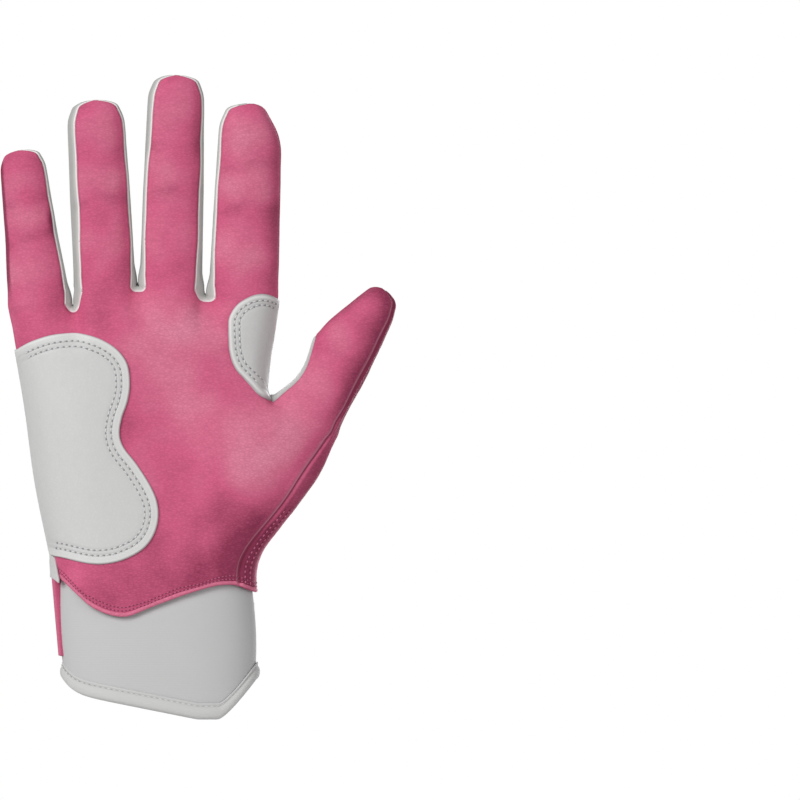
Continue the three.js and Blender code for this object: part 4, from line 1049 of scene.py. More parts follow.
def chart(piece, row_count, column_count, points, outs):
    faces = np.flatnonzero(panel_of == piece_names.index(piece))
    ids = np.zeros((row_count * FINE + 1, column_count * FINE + 1), int)
    spots = np.rint((uv[faces] - [CHART_SHIFTS[piece], 0]) * FINE).astype(int)
    ids[spots[:, :, 1], spots[:, :, 0]] = quads[faces]
    return points[ids], outs[ids]


def read_chart(sheet, spots):
    """Points and outward directions at (column, row) spots of a chart."""
    points, outs = sheet
    spots = np.atleast_2d(spots) * FINE
    j = np.clip(spots[:, 0].astype(int), 0, points.shape[1] - 2)
    i = np.clip(spots[:, 1].astype(int), 0, points.shape[0] - 2)
    s, t = (spots[:, 0] - j)[:, None], (spots[:, 1] - i)[:, None]
    found = []
    for a in (points, outs):
        low, high = mix(a[i, j], a[i, j + 1], s), mix(a[i + 1, j], a[i + 1, j + 1], s)
        found.append(mix(low, high, t))
    return found[0], unit(found[1])


palm_chart = chart("palm", rows - 1, columns - 1, skin, normals)
calm_chart = chart("palm", rows - 1, columns - 1, calm_skin, calm_normals)
back_chart = chart("back", rows - 1, columns - 1, skin, normals)
side_chart = chart("side", LOWER_ROWS, SIDE_COLUMNS, skin, normals)
palm_ids = np.flatnonzero(panel_of == piece_names.index("palm"))
palm_triangles = np.vstack([quads[palm_ids][:, corner] for corner in TRIANGLES])
triangle_spots = np.vstack([uv[palm_ids][:, corner] for corner in TRIANGLES])
palm_tree = BVHTree.FromPolygons(skin.tolist(), palm_triangles.tolist())


def palm_spot(x, z):
    """Column and row of the palm where a ray from the front meets it, or None beside the palm."""
    hit, _, which, _ = palm_tree.ray_cast(Vector((x, RAY_START, z)), Vector((0, 1, 0)))
    if hit is None:
        return None
    corner = skin[palm_triangles[which]]
    shares = np.linalg.lstsq(np.vstack([corner.T, np.ones(3)]), np.array([*hit, 1.0]), rcond=None)[0]
    return shares @ triangle_spots[which]


def spot_above(x, z, reach=3.0):
    """As palm_spot, and a little way past the palm's upper edge, where a patch runs on to a finger."""
    found = palm_spot(x, z)
    if found is None and z > INDEX_SIDE[-1][1]:
        lower, lowest = palm_spot(x, z - reach), palm_spot(x, z - reach - 1)
        if lower is not None and lowest is not None:
            found = lower + (lower - lowest) * reach
    return found


print("palm chart:", palm_chart[0].shape[:2])

# %% [markdown]
# ## White patches
# The kidney-shaped patch on the heel of the hand and the one below the index finger are second layers
# of white hide, glued down and sewn round with two rows. Cutting them out with a Boolean would leave a
# ragged rim, so each is built as rings from its middle to its edge on the chart. The outer rings carry
# the profile: a rounded edge, and a shallow channel where each row of thread pulls the hide down.

# %% Outlines and profile of the patches
HEEL_PATCH = (
    (-62, 136), (-54.6, 140.3), (-48.4, 143.6), (-41.2, 145.8), (-33.9, 146.5), (-28.1, 146.1),
    (-21.5, 143.9), (-15.7, 140), (-12.1, 134.5), (-11.2, 127.2), (-12.1, 120.7), (-14.3, 114.2),
    (-15.1, 108.3), (-13.5, 103.2), (-8.5, 96.7), (-3.4, 88.7), (-0.8, 82.2), (-0.5, 75.6), (-2.6, 69.1),
    (-7, 64), (-14.3, 60.3), (-21.5, 58.9), (-28.1, 59.3), (-36.8, 61.4), (-41.5, 62.5), (-50, 66))
WEB_PATCH = (
    (50, 125), (44, 121.6), (41.7, 121), (39.3, 122), (36.9, 123.7), (34.4, 126.6), (31.5, 129.7),
    (29.1, 132.4), (27.4, 135.8), (26.4, 139.7), (26.1, 143.6), (26, 148.4), (26.2, 151.8), (27.4, 154.7),
    (29.6, 157.6), (32.5, 159.6), (35.9, 161.1), (39.3, 161.5), (42.2, 160.9), (44.6, 159.5), (46.5, 156.5),
    (52, 152))
HEEL_MIDDLE, WEB_MIDDLE = (-34, 101), (36, 142)
# Rows of thread, as distances from the edge, and where they stop short.
HEEL_ROWS, WEB_ROWS, WEB_ROW_LOWEST, ROW_ENDS = (3.3, 5.3), (2.3, 4.1), 128.0, 5
ROW_SLACK, ROW_LIFT = 0.05, 0.1
# Profile of the hide, from its glue line up, with the channels that the rows pull in.
PATCH_THICK, PATCH_EDGE, PATCH_RAISE, PATCH_SUNK = 1.1, 0.9, 0.12, 0.15
CHANNEL_DEPTH, CHANNEL_WIDTH = 0.22, 0.55
EDGE_HEIGHT, EDGE_COLUMNS = 0.6, 0.8
# Rings by their distance from the edge, then even ones to the middle. One outer ring tells which way is out.
EDGE_RINGS = (0.0, 0.1, 0.25, 0.5, 0.9, 1.4, 1.9, 2.3, 2.8, 3.3, 3.7, 4.1, 4.6, 5.1, 5.6, 6.1, 6.8, 8.0, 9.5)
INNER_RINGS, RING_LIMIT, FACING_RING = 14, 0.5, 5
OUTLINE_STEPS, CLOSING_STEPS = 300, 40
# Colour of the hide: painted shade at the very edge and in the channels, paler outside the first row,
# and a painted highlight on its rounded edge.
RIM_SHADE, RIM_SHADE_WIDTH, ROW_SHADE, ROW_SHADE_WIDTH = 0.5, 0.4, 0.08, 0.5
RIM_TONE, RIM_TONE_FADE = 0.7, 0.8
RIM_HIGHLIGHT, RIM_HIGHLIGHT_AT, RIM_HIGHLIGHT_WIDTH = 0.6, 0.8, 0.3


def off_line(points, line):
    """Distance of flat points from a flat line of many short steps."""
    a, b = line[:-1], line[1:]
    d = b - a
    best = np.full(len(points), 1e9)
    for start, step in zip(a, d):
        t = np.clip(((points - start) @ step) / max(step @ step, 1e-9), 0, 1)
        best = np.minimum(best, np.linalg.norm(points - start - t[:, None] * step, axis=1))
    return best


def patch_height(far, seam_rows):
    lip = 1 - np.minimum(far / PATCH_EDGE, 1.0)
    height = PATCH_RAISE + PATCH_THICK * np.sqrt(np.maximum(1 - lip ** 2, 0))
    return height - sum(CHANNEL_DEPTH * bump(far - row, CHANNEL_WIDTH) for row in seam_rows)


def edge_share(spots, column):
    """How much of a patch's height is left near the hand's edge, where it is sewn into the side."""
    return EDGE_HEIGHT + (1 - EDGE_HEIGHT) * ease(np.abs(spots[:, 0] - column) / EDGE_COLUMNS)


over_row = patch_height(np.array(HEEL_ROWS), HEEL_ROWS)[0]
print("hide under the first row:", round(float(over_row), 2), "mm")

# %% Heel patch and web patch
def patch(name, outline, middle, seam_rows, column):
    """A sheet of hide inside an outline that ends at one edge column of the palm, and its free edge."""
    line = spline(outline, OUTLINE_STEPS)
    spots = [spot_above(*p) for p in line]
    inside = [i for i, spot in enumerate(spots) if spot is not None]
    first, last = inside[0], inside[-1]
    heights = palm_chart[0][:, column * FINE, 2]
    edge_row = [np.interp(line[k][1], heights, np.arange(len(heights)) / FINE) for k in (last, first)]
    closing = np.stack([np.full(CLOSING_STEPS, float(column)), np.linspace(*edge_row, CLOSING_STEPS)], axis=1)
    loop = np.vstack([[spots[i] for i in inside], closing])
    hub = palm_spot(*middle)
    reach = np.linalg.norm(read_chart(calm_chart, loop)[0] - read_chart(calm_chart, hub)[0], axis=1)
    shares = [1 - np.minimum(d / reach, RING_LIMIT) for d in EDGE_RINGS]
    shares += [shares[-1] * k / INNER_RINGS for k in range(INNER_RINGS - 1, 0, -1)]
    spots = np.vstack([hub + share[:, None] * (loop - hub) for share in shares] + [hub[None]])
    base, outs = read_chart(calm_chart, spots)
    free_edge = line[first:last + 1]
    far = off_line(base[:, [0, 2]], free_edge)
    top = base + outs * (patch_height(far, seam_rows) * edge_share(spots, column))[:, None]
    count, size = len(loop), len(top)
    start, centre = size - 1 - count, size - 1
    faces = ring_faces(len(shares), count)
    faces += [(start + k, start + (k + 1) % count, centre) for k in range(count)]
    rim = [((k + 1) % count, k, k + size, (k + 1) % count + size) for k in range(count)]
    every = faces + [tuple(i + size for i in f[::-1]) for f in faces] + rim
    a, b, _, d = faces[FACING_RING * count]
    if np.cross(top[b] - top[a], top[d] - top[a]) @ outs[a] < 0:
        every = [f[::-1] for f in every]
    channel_shade = sum(bump(far - row, ROW_SHADE_WIDTH) for row in seam_rows)
    numbers = {
        "shade": RIM_SHADE * bump(far, RIM_SHADE_WIDTH) + ROW_SHADE * channel_shade,
        "tone_and_painted_light": RIM_TONE * (1 - ease((far - seam_rows[0] + RIM_TONE_FADE) / RIM_TONE_FADE)),
        "edge_highlight": RIM_HIGHLIGHT * bump(far - RIM_HIGHLIGHT_AT, RIM_HIGHLIGHT_WIDTH),
    }
    numbers = {label: np.tile(values, 2) for label, values in numbers.items()}
    points = np.vstack([top, base - outs * PATCH_SUNK])
    piece = new_piece(name, points, every, WHITE_LEATHER, numbers=numbers)
    return sits_on(piece, "patch_leather", name.replace("_hide", "")), free_edge


def patch_seams(line, seam_rows, column, lowest=0.0):
    """Rows of thread at set distances inside a patch's free edge, as points with directions."""
    made = []
    step = np.gradient(line, axis=0)
    inward = unit(np.stack([step[:, 1], -step[:, 0]], axis=1))
    for far in seam_rows:
        moved = line + inward * far
        clear = off_line(moved, line) > far - ROW_SLACK
        spots = [spot_above(*p) for p in moved[clear]]
        spots = np.array([spot for spot in spots if spot is not None])[ROW_ENDS:-ROW_ENDS]
        base, outs = read_chart(calm_chart, spots)
        spots, base, outs = (values[base[:, 2] > lowest] for values in (spots, base, outs))
        rise = patch_height(np.array([far]), seam_rows) * edge_share(spots, column) + ROW_LIFT
        made.append((base + outs * rise[:, None], outs))
    return made


heel, heel_line = patch("heel_patch_hide", HEEL_PATCH, HEEL_MIDDLE, HEEL_ROWS, 0)
web, web_line = patch("web_patch_hide", WEB_PATCH, WEB_MIDDLE, WEB_ROWS, columns - 1)
print("patches:", len(heel.data.polygons), "and", len(web.data.polygons), "faces")

# %% [markdown]
# ## Stitches
# A row of lockstitch is the same small thing over and over: a short loop of thread that dips into a
# needle hole at both ends. Placing hundreds by hand is hopeless, and an array modifier cannot follow a
# curve on a surface. A Geometry Nodes tree can: it takes the drawn rows as curves, spaces points along
# them by the stitch pitch, and sets a thread and a hole at each one, turned along the row and up from
# the leather. The result is turned into a plain mesh.

# %% The stitch tree
HOLE_LONG, HOLE_FLAT = 1.25, 0.45


def new_tree(name, inputs, result):
    """An empty geometry tree with named inputs and one result, and the sockets of its inputs."""
    tree = bpy.data.node_groups.new(name, "GeometryNodeTree")
    for label, kind in inputs.items():
        tree.interface.new_socket(label, in_out="INPUT", socket_type=f"NodeSocket{kind}")
    tree.interface.new_socket(result, in_out="OUTPUT", socket_type="NodeSocketGeometry")
    return tree, put(tree, "NodeGroupInput").outputs


def set_beads(tree, points, turn, size, paint, segments, rings, offset=0.0):
    """The part that both trees share: stretched balls set on points, made real and painted."""
    ball = put(tree, "GeometryNodeMeshUVSphere", {"Segments": segments, "Rings": rings, "Radius": 0.5})
    scale = put(tree, "ShaderNodeCombineXYZ", dict(enumerate(size)))
    shift = put(tree, "ShaderNodeCombineXYZ", {0: offset})
    bead = put(tree, "GeometryNodeTransform", {"Geometry": ball, "Scale": scale, "Translation": shift})
    copies = put(tree, "GeometryNodeInstanceOnPoints", {"Points": points, "Instance": bead, "Rotation": turn})
    real = put(tree, "GeometryNodeRealizeInstances", {"Geometry": copies})
    return put(tree, "GeometryNodeSetMaterial", {"Geometry": real, "Material": paint})


def stitch_tree():
    tree, entry = new_tree("rows of stitches", {
        "Rows": "Geometry", "Pitch": "Float", "Thread Length": "Float", "Thread Width": "Float",
        "Hole Width": "Float", "Thread": "Material", "Hole": "Material"}, "Stitches")
    curve = put(tree, "GeometryNodeMeshToCurve", {"Mesh": entry["Rows"]})
    even = put(tree, "GeometryNodeResampleCurve", {"Curve": curve, "Length": entry["Pitch"]}, mode="LENGTH")
    run = put(tree, "GeometryNodeInputTangent")
    out = put(tree, "GeometryNodeInputNamedAttribute", {"Name": "out"}, data_type="FLOAT_VECTOR")
    turn = put(tree, "FunctionNodeAlignRotationToVector", {"Vector": run}, axis="X")
    turn = put(tree, "FunctionNodeAlignRotationToVector", {"Rotation": turn, "Vector": out}, axis="Z",
               pivot_axis="X")
    half_pitch = put(tree, "ShaderNodeMath", {0: entry["Pitch"], 1: 0.5}, operation="MULTIPLY")
    flat_hole = put(tree, "ShaderNodeMath", {0: entry["Hole Width"], 1: HOLE_FLAT}, operation="MULTIPLY")
    long_hole = put(tree, "ShaderNodeMath", {0: entry["Hole Width"], 1: HOLE_LONG}, operation="MULTIPLY")
    thread_size = (entry["Thread Length"], entry["Thread Width"], entry["Thread Width"])
    hole_size = (long_hole, entry["Hole Width"], flat_hole)
    together = put(tree, "GeometryNodeJoinGeometry")
    for size, paint, offset in ((thread_size, "Thread", 0.0), (hole_size, "Hole", half_pitch)):
        beads = set_beads(tree, even, turn, size, entry[paint], segments=8, rings=5, offset=offset)
        tree.links.new(beads.outputs[0], together.inputs[0])
    put(tree, "NodeGroupOutput", {"Stitches": together})
    return tree


STITCHES = stitch_tree()
print("stitch tree:", len(STITCHES.nodes), "nodes")

# %% Rows of stitches on the patches
def grown(name, host, tree, values):
    """The plain mesh that a node tree grows on a host object, as a piece at the origin."""
    grower = host.modifiers.new("grow", "NODES")
    grower.node_group = tree
    for item in tree.interface.items_tree:
        if item.in_out == "INPUT" and item.name in values:
            grower[item.identifier] = values[item.name]
    mesh = bpy.data.meshes.new_from_object(evaluated(host))
    host.modifiers.remove(grower)
    bpy.data.objects.remove(host)
    mesh.name = name
    mesh.polygons.foreach_set("use_smooth", [True] * len(mesh.polygons))
    piece = bpy.data.objects.new(name, mesh)
    bpy.context.collection.objects.link(piece)
    return piece


def stitched(name, lines, pitch, thread, hole_shadow, length=0.62, width=0.55, hole_width=0.62):
    """Stitches along lines of points with outward directions, sizes in millimetres."""
    points = np.vstack([p for p, _ in lines])
    outs = np.vstack([o for _, o in lines])
    edges, first = [], 0
    for p, _ in lines:
        edges += [(first + k, first + k + 1) for k in range(len(p) - 1)]
        first += len(p)
    mesh = bpy.data.meshes.new("stitch lines")
    mesh.from_pydata((points * MM).tolist(), edges, [])
    mesh.attributes.new("out", "FLOAT_VECTOR", "POINT").data.foreach_set("vector", outs.ravel())
    host = bpy.data.objects.new("stitch lines", mesh)
    bpy.context.collection.objects.link(host)
    return grown(name, host, STITCHES, {
        "Pitch": pitch * MM, "Thread Length": pitch * length * MM, "Thread Width": width * MM,
        "Hole Width": hole_width * MM, "Thread": thread, "Hole": hole_shadow})


PATCH_PITCH = 2.25
patch_lines = patch_seams(heel_line, HEEL_ROWS, 0)
patch_lines += patch_seams(web_line, WEB_ROWS, columns - 1, WEB_ROW_LOWEST)
patch_stitches = stitched("patch_stitches", patch_lines, PATCH_PITCH, WHITE_THREAD, GREY_HOLE_SHADOW, hole_width=0.7)
sits_on(patch_stitches, "patch_leather")
print("patch stitches:", len(patch_stitches.data.polygons), "faces")

# %% [markdown]
# ## Hem
# The leather's lower edge is turned under and held by two rows of fine stitches, which leaves a soft
# rolled lip below them. The lip is a flattened tube swept along the edge of the three charts.

# %% Tubes, and lines along the hem
def tube(name, rings, material, closed, numbers):
    """A skin over rings of points, with both ends capped unless the last ring meets the first."""
    count, size = rings.shape[:2]
    faces = ring_faces(count, size, closed)
    if not closed:
        faces += [tuple(range(size))[::-1], tuple((count - 1) * size + k for k in range(size))]
    piece = new_piece(name, rings.reshape(-1, 3), faces, material, numbers=numbers)
    mesh = bmesh.new()
    mesh.from_mesh(piece.data)
    bmesh.ops.recalc_face_normals(mesh, faces=mesh.faces)
    bmesh.ops.triangulate(mesh, faces=[face for face in mesh.faces if len(face.verts) > 4])
    mesh.to_mesh(piece.data)
    mesh.free()
    return piece


def sweep(name, points, outs, profile, material, closed=True, tone_and_painted_light=0.0, edge_highlight=0.0):
    """A closed profile of (outward, along the other way) pairs carried along a line of points."""
    points, outs = np.asarray(points), np.asarray(outs)
    run = np.gradient(points, axis=0)
    if closed:
        run = np.roll(points, -1, axis=0) - np.roll(points, 1, axis=0)
    up = unit(np.cross(unit(run), outs))
    profile = np.asarray(profile)
    rings = points[:, None] + outs[:, None] * profile[None, :, :1] + up[:, None] * profile[None, :, 1:2]
    size = len(points) * len(profile)
    return tube(name, rings, material, closed, {"tone_and_painted_light": np.full(size, tone_and_painted_light), "edge_highlight": np.full(size, edge_highlight)})


def oval(wide, tall, shift=(0.0, 0.0), steps=14):
    turns = np.linspace(0, 2 * math.pi, steps, endpoint=False)
    return np.stack([shift[0] + wide * np.cos(turns), shift[1] + tall * np.sin(turns)], axis=1)


def up_from_hem(sheet, far):
    """A line a set distance above a chart's lower edge."""
    points, outs = sheet
    climbed = np.concatenate([np.zeros((1, points.shape[1])),
                              np.cumsum(np.linalg.norm(np.diff(points, axis=0), axis=2), axis=0)])
    row = np.array([np.interp(far, climbed[:, k], np.arange(len(points))) for k in range(points.shape[1])])
    return read_chart(sheet, np.stack([np.arange(points.shape[1]), row], axis=1) / FINE)


print("line along the palm's hem:", len(up_from_hem(palm_chart, 0.0)[0]), "points")

# %% Rolled lip and its stitches
# The whole lip is painted paler, a painted highlight on its roll.
LIP_OUT, LIP_UP, LIP_RAISE, LIP_SUNK, LIP_HIGHLIGHT = 0.62, 0.85, 0.75, 0.4, 0.45
HEM_ROWS, HEM_PITCH, HEM_LIFT = (2.1, 3.4), 1.45, 0.06
# Two rows beside the thumb's outer seam, as columns and a span of rows of the side's chart.
SIDE_ROWS, SIDE_SPAN, SIDE_STEPS = (0.55, 0.95), (0.25, 3.2), 80
SIDE_PITCH, SIDE_LIFT = 1.9, 0.08
hem_loop = [(points[0], outs[0]) for points, outs in (palm_chart, side_chart)]
hem_loop.append((back_chart[0][0][::-1], back_chart[1][0][::-1]))
lip_points = np.vstack([points[:-1] for points, _ in hem_loop])
lip_outs = np.vstack([outs[:-1] for _, outs in hem_loop])
lip_profile = oval(LIP_OUT, LIP_UP, shift=(-LIP_SUNK, -LIP_RAISE))
lip = sweep("hem_lip", lip_points, lip_outs, lip_profile, PINK_LEATHER, tone_and_painted_light=LIP_HIGHLIGHT)
sits_on(lip, "palm_leather")
hem_lines = []
for far in HEM_ROWS:
    for sheet in (palm_chart, side_chart, back_chart):
        points, outs = up_from_hem(sheet, far)
        hem_lines.append((points + outs * HEM_LIFT, outs))
hem_stitches = stitched("hem_stitches", hem_lines, HEM_PITCH, PINK_THREAD, PINK_HOLE_SHADOW, width=0.42,
                        hole_width=0.5)
sits_on(hem_stitches, "palm_leather")
side_lines = []
for column in SIDE_ROWS:
    spots = np.stack([np.full(SIDE_STEPS, column), np.linspace(*SIDE_SPAN, SIDE_STEPS)], axis=1)
    points, outs = read_chart(side_chart, spots)
    side_lines.append((points + outs * SIDE_LIFT, outs))
side_stitches = stitched("thumb_side_stitches", side_lines, SIDE_PITCH, PINK_THREAD, PINK_HOLE_SHADOW, width=0.6,
                         hole_width=0.8)
sits_on(side_stitches, "palm_leather")
print("hem stitches:", len(hem_stitches.data.polygons), "faces")

# %% [markdown]
# On the little finger's side a small tab of white hide is folded over the hem's corner, just above the
# strap. It is a grid read from the palm's and the back's charts, so it follows the edge of the hand.

# %% Tab over the hem's corner
TAB_HEIGHTS, TAB_BELOW, TAB_LIFTS, TAB_HIDE = (55.7, 63.0), 1.5, (1.6, 0.55), 0.9
TAB_FRONT_XS, TAB_BACK_X, TAB_ROWS, TAB_COLUMNS = (-37.3, -39.9), -36.5, 12, 9
# How far up and in from the hem's corner the tab's edges are looked for, in cage rows and columns.
TAB_REACH_UP, TAB_REACH_IN, TAB_REACH_STEPS = 5, 4, 60
SHEET_EDGE, SHEET_EDGE_ANGLE = 0.3, 50


def grid_sheet(name, points, outs, thickness, material):
    """A closed sheet over a grid of points whose rows go up and columns go round."""
    faces = grid_quads(points)
    points, outs = points.reshape(-1, 3), outs.reshape(-1, 3)
    a, b, _, d = faces[0]
    if np.cross(points[b] - points[a], points[d] - points[a]) @ outs[a] < 0:
        faces = faces[:, ::-1]
    every, all_faces, _ = closed_sheet(faces, points, points - outs * thickness)
    piece = new_piece(name, every, all_faces, material)
    edge = piece.modifiers.new("soft edge", "BEVEL")
    edge.width = SHEET_EDGE * thickness * MM
    edge.segments = 2
    edge.limit_method = "ANGLE"
    edge.angle_limit = math.radians(SHEET_EDGE_ANGLE)
    return piece


def edge_line(sheet, x, z):
    """Points of a chart at one height, from the hand's edge inwards to a given x."""
    levels = np.arange(0, TAB_REACH_UP * FINE)
    row = np.interp(z, sheet[0][levels, 0, 2], levels) / FINE
    inwards = np.linspace(0, TAB_REACH_IN, TAB_REACH_STEPS)
    across = read_chart(sheet, np.stack([inwards, np.full(TAB_REACH_STEPS, row)], axis=1))[0][:, 0]
    columns_in = np.linspace(0, np.interp(x, across, inwards), TAB_COLUMNS)
    return read_chart(sheet, np.stack([columns_in, np.full(TAB_COLUMNS, row)], axis=1))


tab_points, tab_outs = [], []
for z, front_x in zip(np.linspace(*TAB_HEIGHTS, TAB_ROWS), np.linspace(*TAB_FRONT_XS, TAB_ROWS)):
    back, palm = edge_line(back_chart, TAB_BACK_X, z), edge_line(palm_chart, front_x, z)
    tab_points.append(np.vstack([back[0][:0:-1], palm[0]]))
    tab_outs.append(np.vstack([back[1][:0:-1], palm[1]]))
tab_points, tab_outs = np.array(tab_points), np.array(tab_outs)
tab_points = np.concatenate([tab_points[:1] - np.array([0, 0, TAB_BELOW]), tab_points])
tab_outs = np.concatenate([tab_outs[:1], tab_outs])
tab_points += tab_outs * np.linspace(*TAB_LIFTS, len(tab_points))[:, None, None]
edge_tab = grid_sheet("edge_tab_hide", tab_points, tab_outs, TAB_HIDE, WHITE_LEATHER)
sits_on(edge_tab, "patch_leather")
print("edge tab:", tab_points.shape[:2])

# %% [markdown]
# ## Piping
# Where a strip of knit meets the leather of a finger, the knit's edge is turned over and shows as a fine
# bright line beside the leather, and it runs on over the fingertip. It is a thin tube along the seam.
# The seam's points are put in order by walking from one to its neighbour, and each stall has a lower and
# an upper line, because they bend with different joints.

# %% Bright edges of the finger strips
PIPING, PIPING_SIDES, PIPING_LIFT = 0.36, 8, 0.25
# Which seams of a finger are piped, by the span of shares across its tip.
PIPED = {"little": (-0.2, 2.0), "ring": (-2.0, 2.0), "middle": (-2.0, 2.0), "index": (-2.0, -0.35)}


def seam_walks(front, mates):
    """Lines of skin points along the seam between one panel and some others."""
    first, second = panel_of[face_of_edge[1:]], panel_of[face_of_edge[:-1]]
    own, other = piece_names.index(front), [piece_names.index(m) for m in mates]
    chosen = twin & (((first == own) & np.isin(second, other)) | ((second == own) & np.isin(first, other)))
    beside = {}
    for a, b in ends[1:][chosen].tolist():
        beside.setdefault(a, []).append(b)
        beside.setdefault(b, []).append(a)
    walks = []
    for start in sorted(k for k, near in beside.items() if len(near) == 1):
        if any(start in walk for walk in walks):
            continue
        walk = [start]
        while True:
            ahead = [k for k in beside[walk[-1]] if k not in walk]
            if not ahead:
                break
            walk.append(ahead[0])
        walks.append(walk)
    return walks


piping_profile = oval(PIPING, PIPING, steps=PIPING_SIDES)
for name in FINGERS:
    across, _ = stall_axes(STALLS[name])
    tip_half, (least, most) = STALLS[name]["halves"][-1][1], PIPED[name]
    for half in ("lower", "upper"):
        mates = [f"{name}_{wall}_{half}" for wall in ("thumb_wall", "outer_wall")]
        mates = [mate for mate in mates if mate in piece_names]
        tubes = []
        for walk in seam_walks(f"{name}_front_{half}", mates):
            share = (skin[walk] - stall_origin(STALLS[name])) @ across / tip_half
            ids = np.array(walk)[(share > least) & (share < most)]
            points = skin[ids] + normals[ids] * PIPING_LIFT
            # The piping takes the knit's full edge highlight colour: a painted highlight all along the tube.
            tubes.append(sweep(f"{name}_piping_{half}", points, normals[ids], piping_profile, STRETCH_KNIT,
                               closed=False, edge_highlight=1.0))
        if len(tubes) > 1:
            with bpy.context.temp_override(active_object=tubes[0], selected_editable_objects=tubes):
                bpy.ops.object.join()
        stall_blend(tubes[0])
        print(tubes[0].name, len(tubes[0].data.polygons), "faces")

# %% [markdown]
# ## Cuff
# The cuff is a band of jersey on foam, cut in one piece across the palm and in two on the back, with a
# slit between them that a stretch gusset closes. It is a swept shell on a rounded section, with a
# slight swell. A folded tape binds the lower edge.

# %% Shape of the cuff
CUFF_HALF_WIDTHS, CUFF_MIDDLE = (38.2, 38.55), (0.0, -1.65)
CUFF_CLEARANCE, CUFF_LAP, CUFF_FOAM = 0.9, 6.0, 2.0
CUFF_SIDE_RISE, CUFF_BACK_DIP, CUFF_LOW_STRETCH = 15.5, 5.0, (0.69, 0.8)
CUFF_FRONT_SLOPE, CUFF_CORNER_POWER, CUFF_THUMB_POWER = 10.0, 16, 1.3
VENT_WIDTH, VENT_SHIFT, VENT_LAP = 12.0, 4.0, 7.0
LAYER_GAP, TAPE, BINDING_HEIGHT = 0.35, 0.9, 5.2
# The cuff's swell, which ends below the hem, and the tuck that draws its top in under the leather.
CUFF_SWELL, SWELL_END, TUCK, TUCK_FROM = 0.9, 0.85, 1.5, 0.8


def cuff_point(turn, z, rise=0.0):
    """Points and directions on the cuff: turn 0 to 1 crosses the palm side from the little finger's
    side to the thumb's, and 0 to -1 crosses the back the same way."""
    turn, z = np.broadcast_arrays(np.asarray(turn, float), np.asarray(z, float))
    t = (z - CUFF_SIDE_RISE) / (RADIAL_EDGE[0][1] - CUFF_SIDE_RISE)
    inset = LEATHER + CUFF_CLEARANCE
    half = mix(*CUFF_HALF_WIDTHS, t) - inset
    palm = turn >= 0
    thick = np.where(palm, along(PALM_DEPTHS, z), along(BACK_DEPTHS, z)) - inset
    sign = np.where(palm, -1.0, 1.0)

    def flat(angle):
        return -half * np.cos(angle), sign * thick * crown(np.cos(angle), HAND_SQUARENESS)

    angle = math.pi * np.abs(turn)
    x, y = flat(angle)
    x0, y0 = flat(np.maximum(0, angle - 1e-3))
    x1, y1 = flat(np.minimum(math.pi, angle + 1e-3))
    out = unit(np.stack([y1 - y0, x0 - x1, 0 * x], axis=-1)) * -sign[..., None]
    edge = np.sin(angle) < 1e-6
    out[edge] = np.stack([np.sign(x), 0 * x, 0 * x], axis=-1)[edge]
    points = np.stack([mix(*CUFF_MIDDLE, t) + x, y, z], axis=-1)
    return points + out * np.asarray(rise, float)[..., None], out


def cuff_low(turn):
    """The lower edge: lowest near the thumb side of the palm, higher at the sides and the back."""
    turn = np.asarray(turn, float)
    share = (1 - np.cos(math.pi * turn)) / 2
    first, last = CUFF_LOW_STRETCH
    far = np.maximum(0, (first - share) / first)
    outer = CUFF_FRONT_SLOPE * far + (CUFF_SIDE_RISE - CUFF_FRONT_SLOPE) * far ** CUFF_CORNER_POWER
    thumb = CUFF_SIDE_RISE * np.maximum(0, (share - last) / (1 - last)) ** CUFF_THUMB_POWER
    back = CUFF_SIDE_RISE - CUFF_BACK_DIP * np.sin(math.pi * np.abs(turn))
    return np.where(turn < 0, back, outer + thumb)


def cuff_high(turn):
    x = cuff_point(turn, np.full(np.shape(turn), RADIAL_EDGE[0][1]))[0][..., 0]
    palm, back = (along(sheet[0][0][:, [0, 2]], x) for sheet in (palm_chart, back_chart))
    return np.where(np.asarray(turn) >= 0, palm, back) + CUFF_LAP


def turn_of(width):
    return width / (2 * CUFF_HALF_WIDTHS[0]) * (2 / math.pi)


def cuff_band(name, turns, low, high, thickness, material, rise=0.0, swell=0.0, steps=64, tiers=20):
    turn = np.linspace(*turns, steps + 1)[None, :]
    share = np.linspace(0, 1, tiers + 1)[:, None]
    z = mix(low(turn), high(turn), share)
    lift = rise(turn, share) if callable(rise) else rise
    belly = np.sin(math.pi * np.minimum(1, share / SWELL_END))
    tuck = TUCK * ease((share - TUCK_FROM) / (1 - TUCK_FROM))
    lift = lift + swell * (belly - tuck) + 0 * turn
    return grid_sheet(name, *cuff_point(turn + 0 * share, z, lift), thickness, material)


lowest = cuff_low(np.linspace(0, 1, 101)).min()
print("cuff's lowest point:", round(float(lowest), 1), "mm")

# %% Bands of the cuff and the gusset
vent_middle = -0.5 - turn_of(VENT_SHIFT)
vent_outer, vent_thumb = vent_middle + turn_of(VENT_WIDTH) / 2, vent_middle - turn_of(VENT_WIDTH) / 2
CUFF_BANDS = (
    ("cuff_palm_band", "cuff_palm_side", (0, 1)),
    ("cuff_back_outer_band", "cuff_back_outer", (vent_outer, 0)),
    ("cuff_back_thumb_band", "cuff_back_thumb", (-1, vent_thumb)),
)
for name, node, turns in CUFF_BANDS:
    band = cuff_band(name, turns, lambda t: cuff_low(t) + TAPE + LAYER_GAP, cuff_high, CUFF_FOAM, CUFF_JERSEY,
                     swell=CUFF_SWELL)
    sits_on(band, "cuff_foam", node)
gusset_turns = (vent_thumb - turn_of(VENT_LAP), vent_outer + turn_of(VENT_LAP))
gusset = cuff_band("vent_gusset_knit", gusset_turns, lambda t: cuff_low(t) + BINDING_HEIGHT + LAYER_GAP,
                   cuff_high, KNIT, STRETCH_KNIT, rise=-CUFF_FOAM - LAYER_GAP)
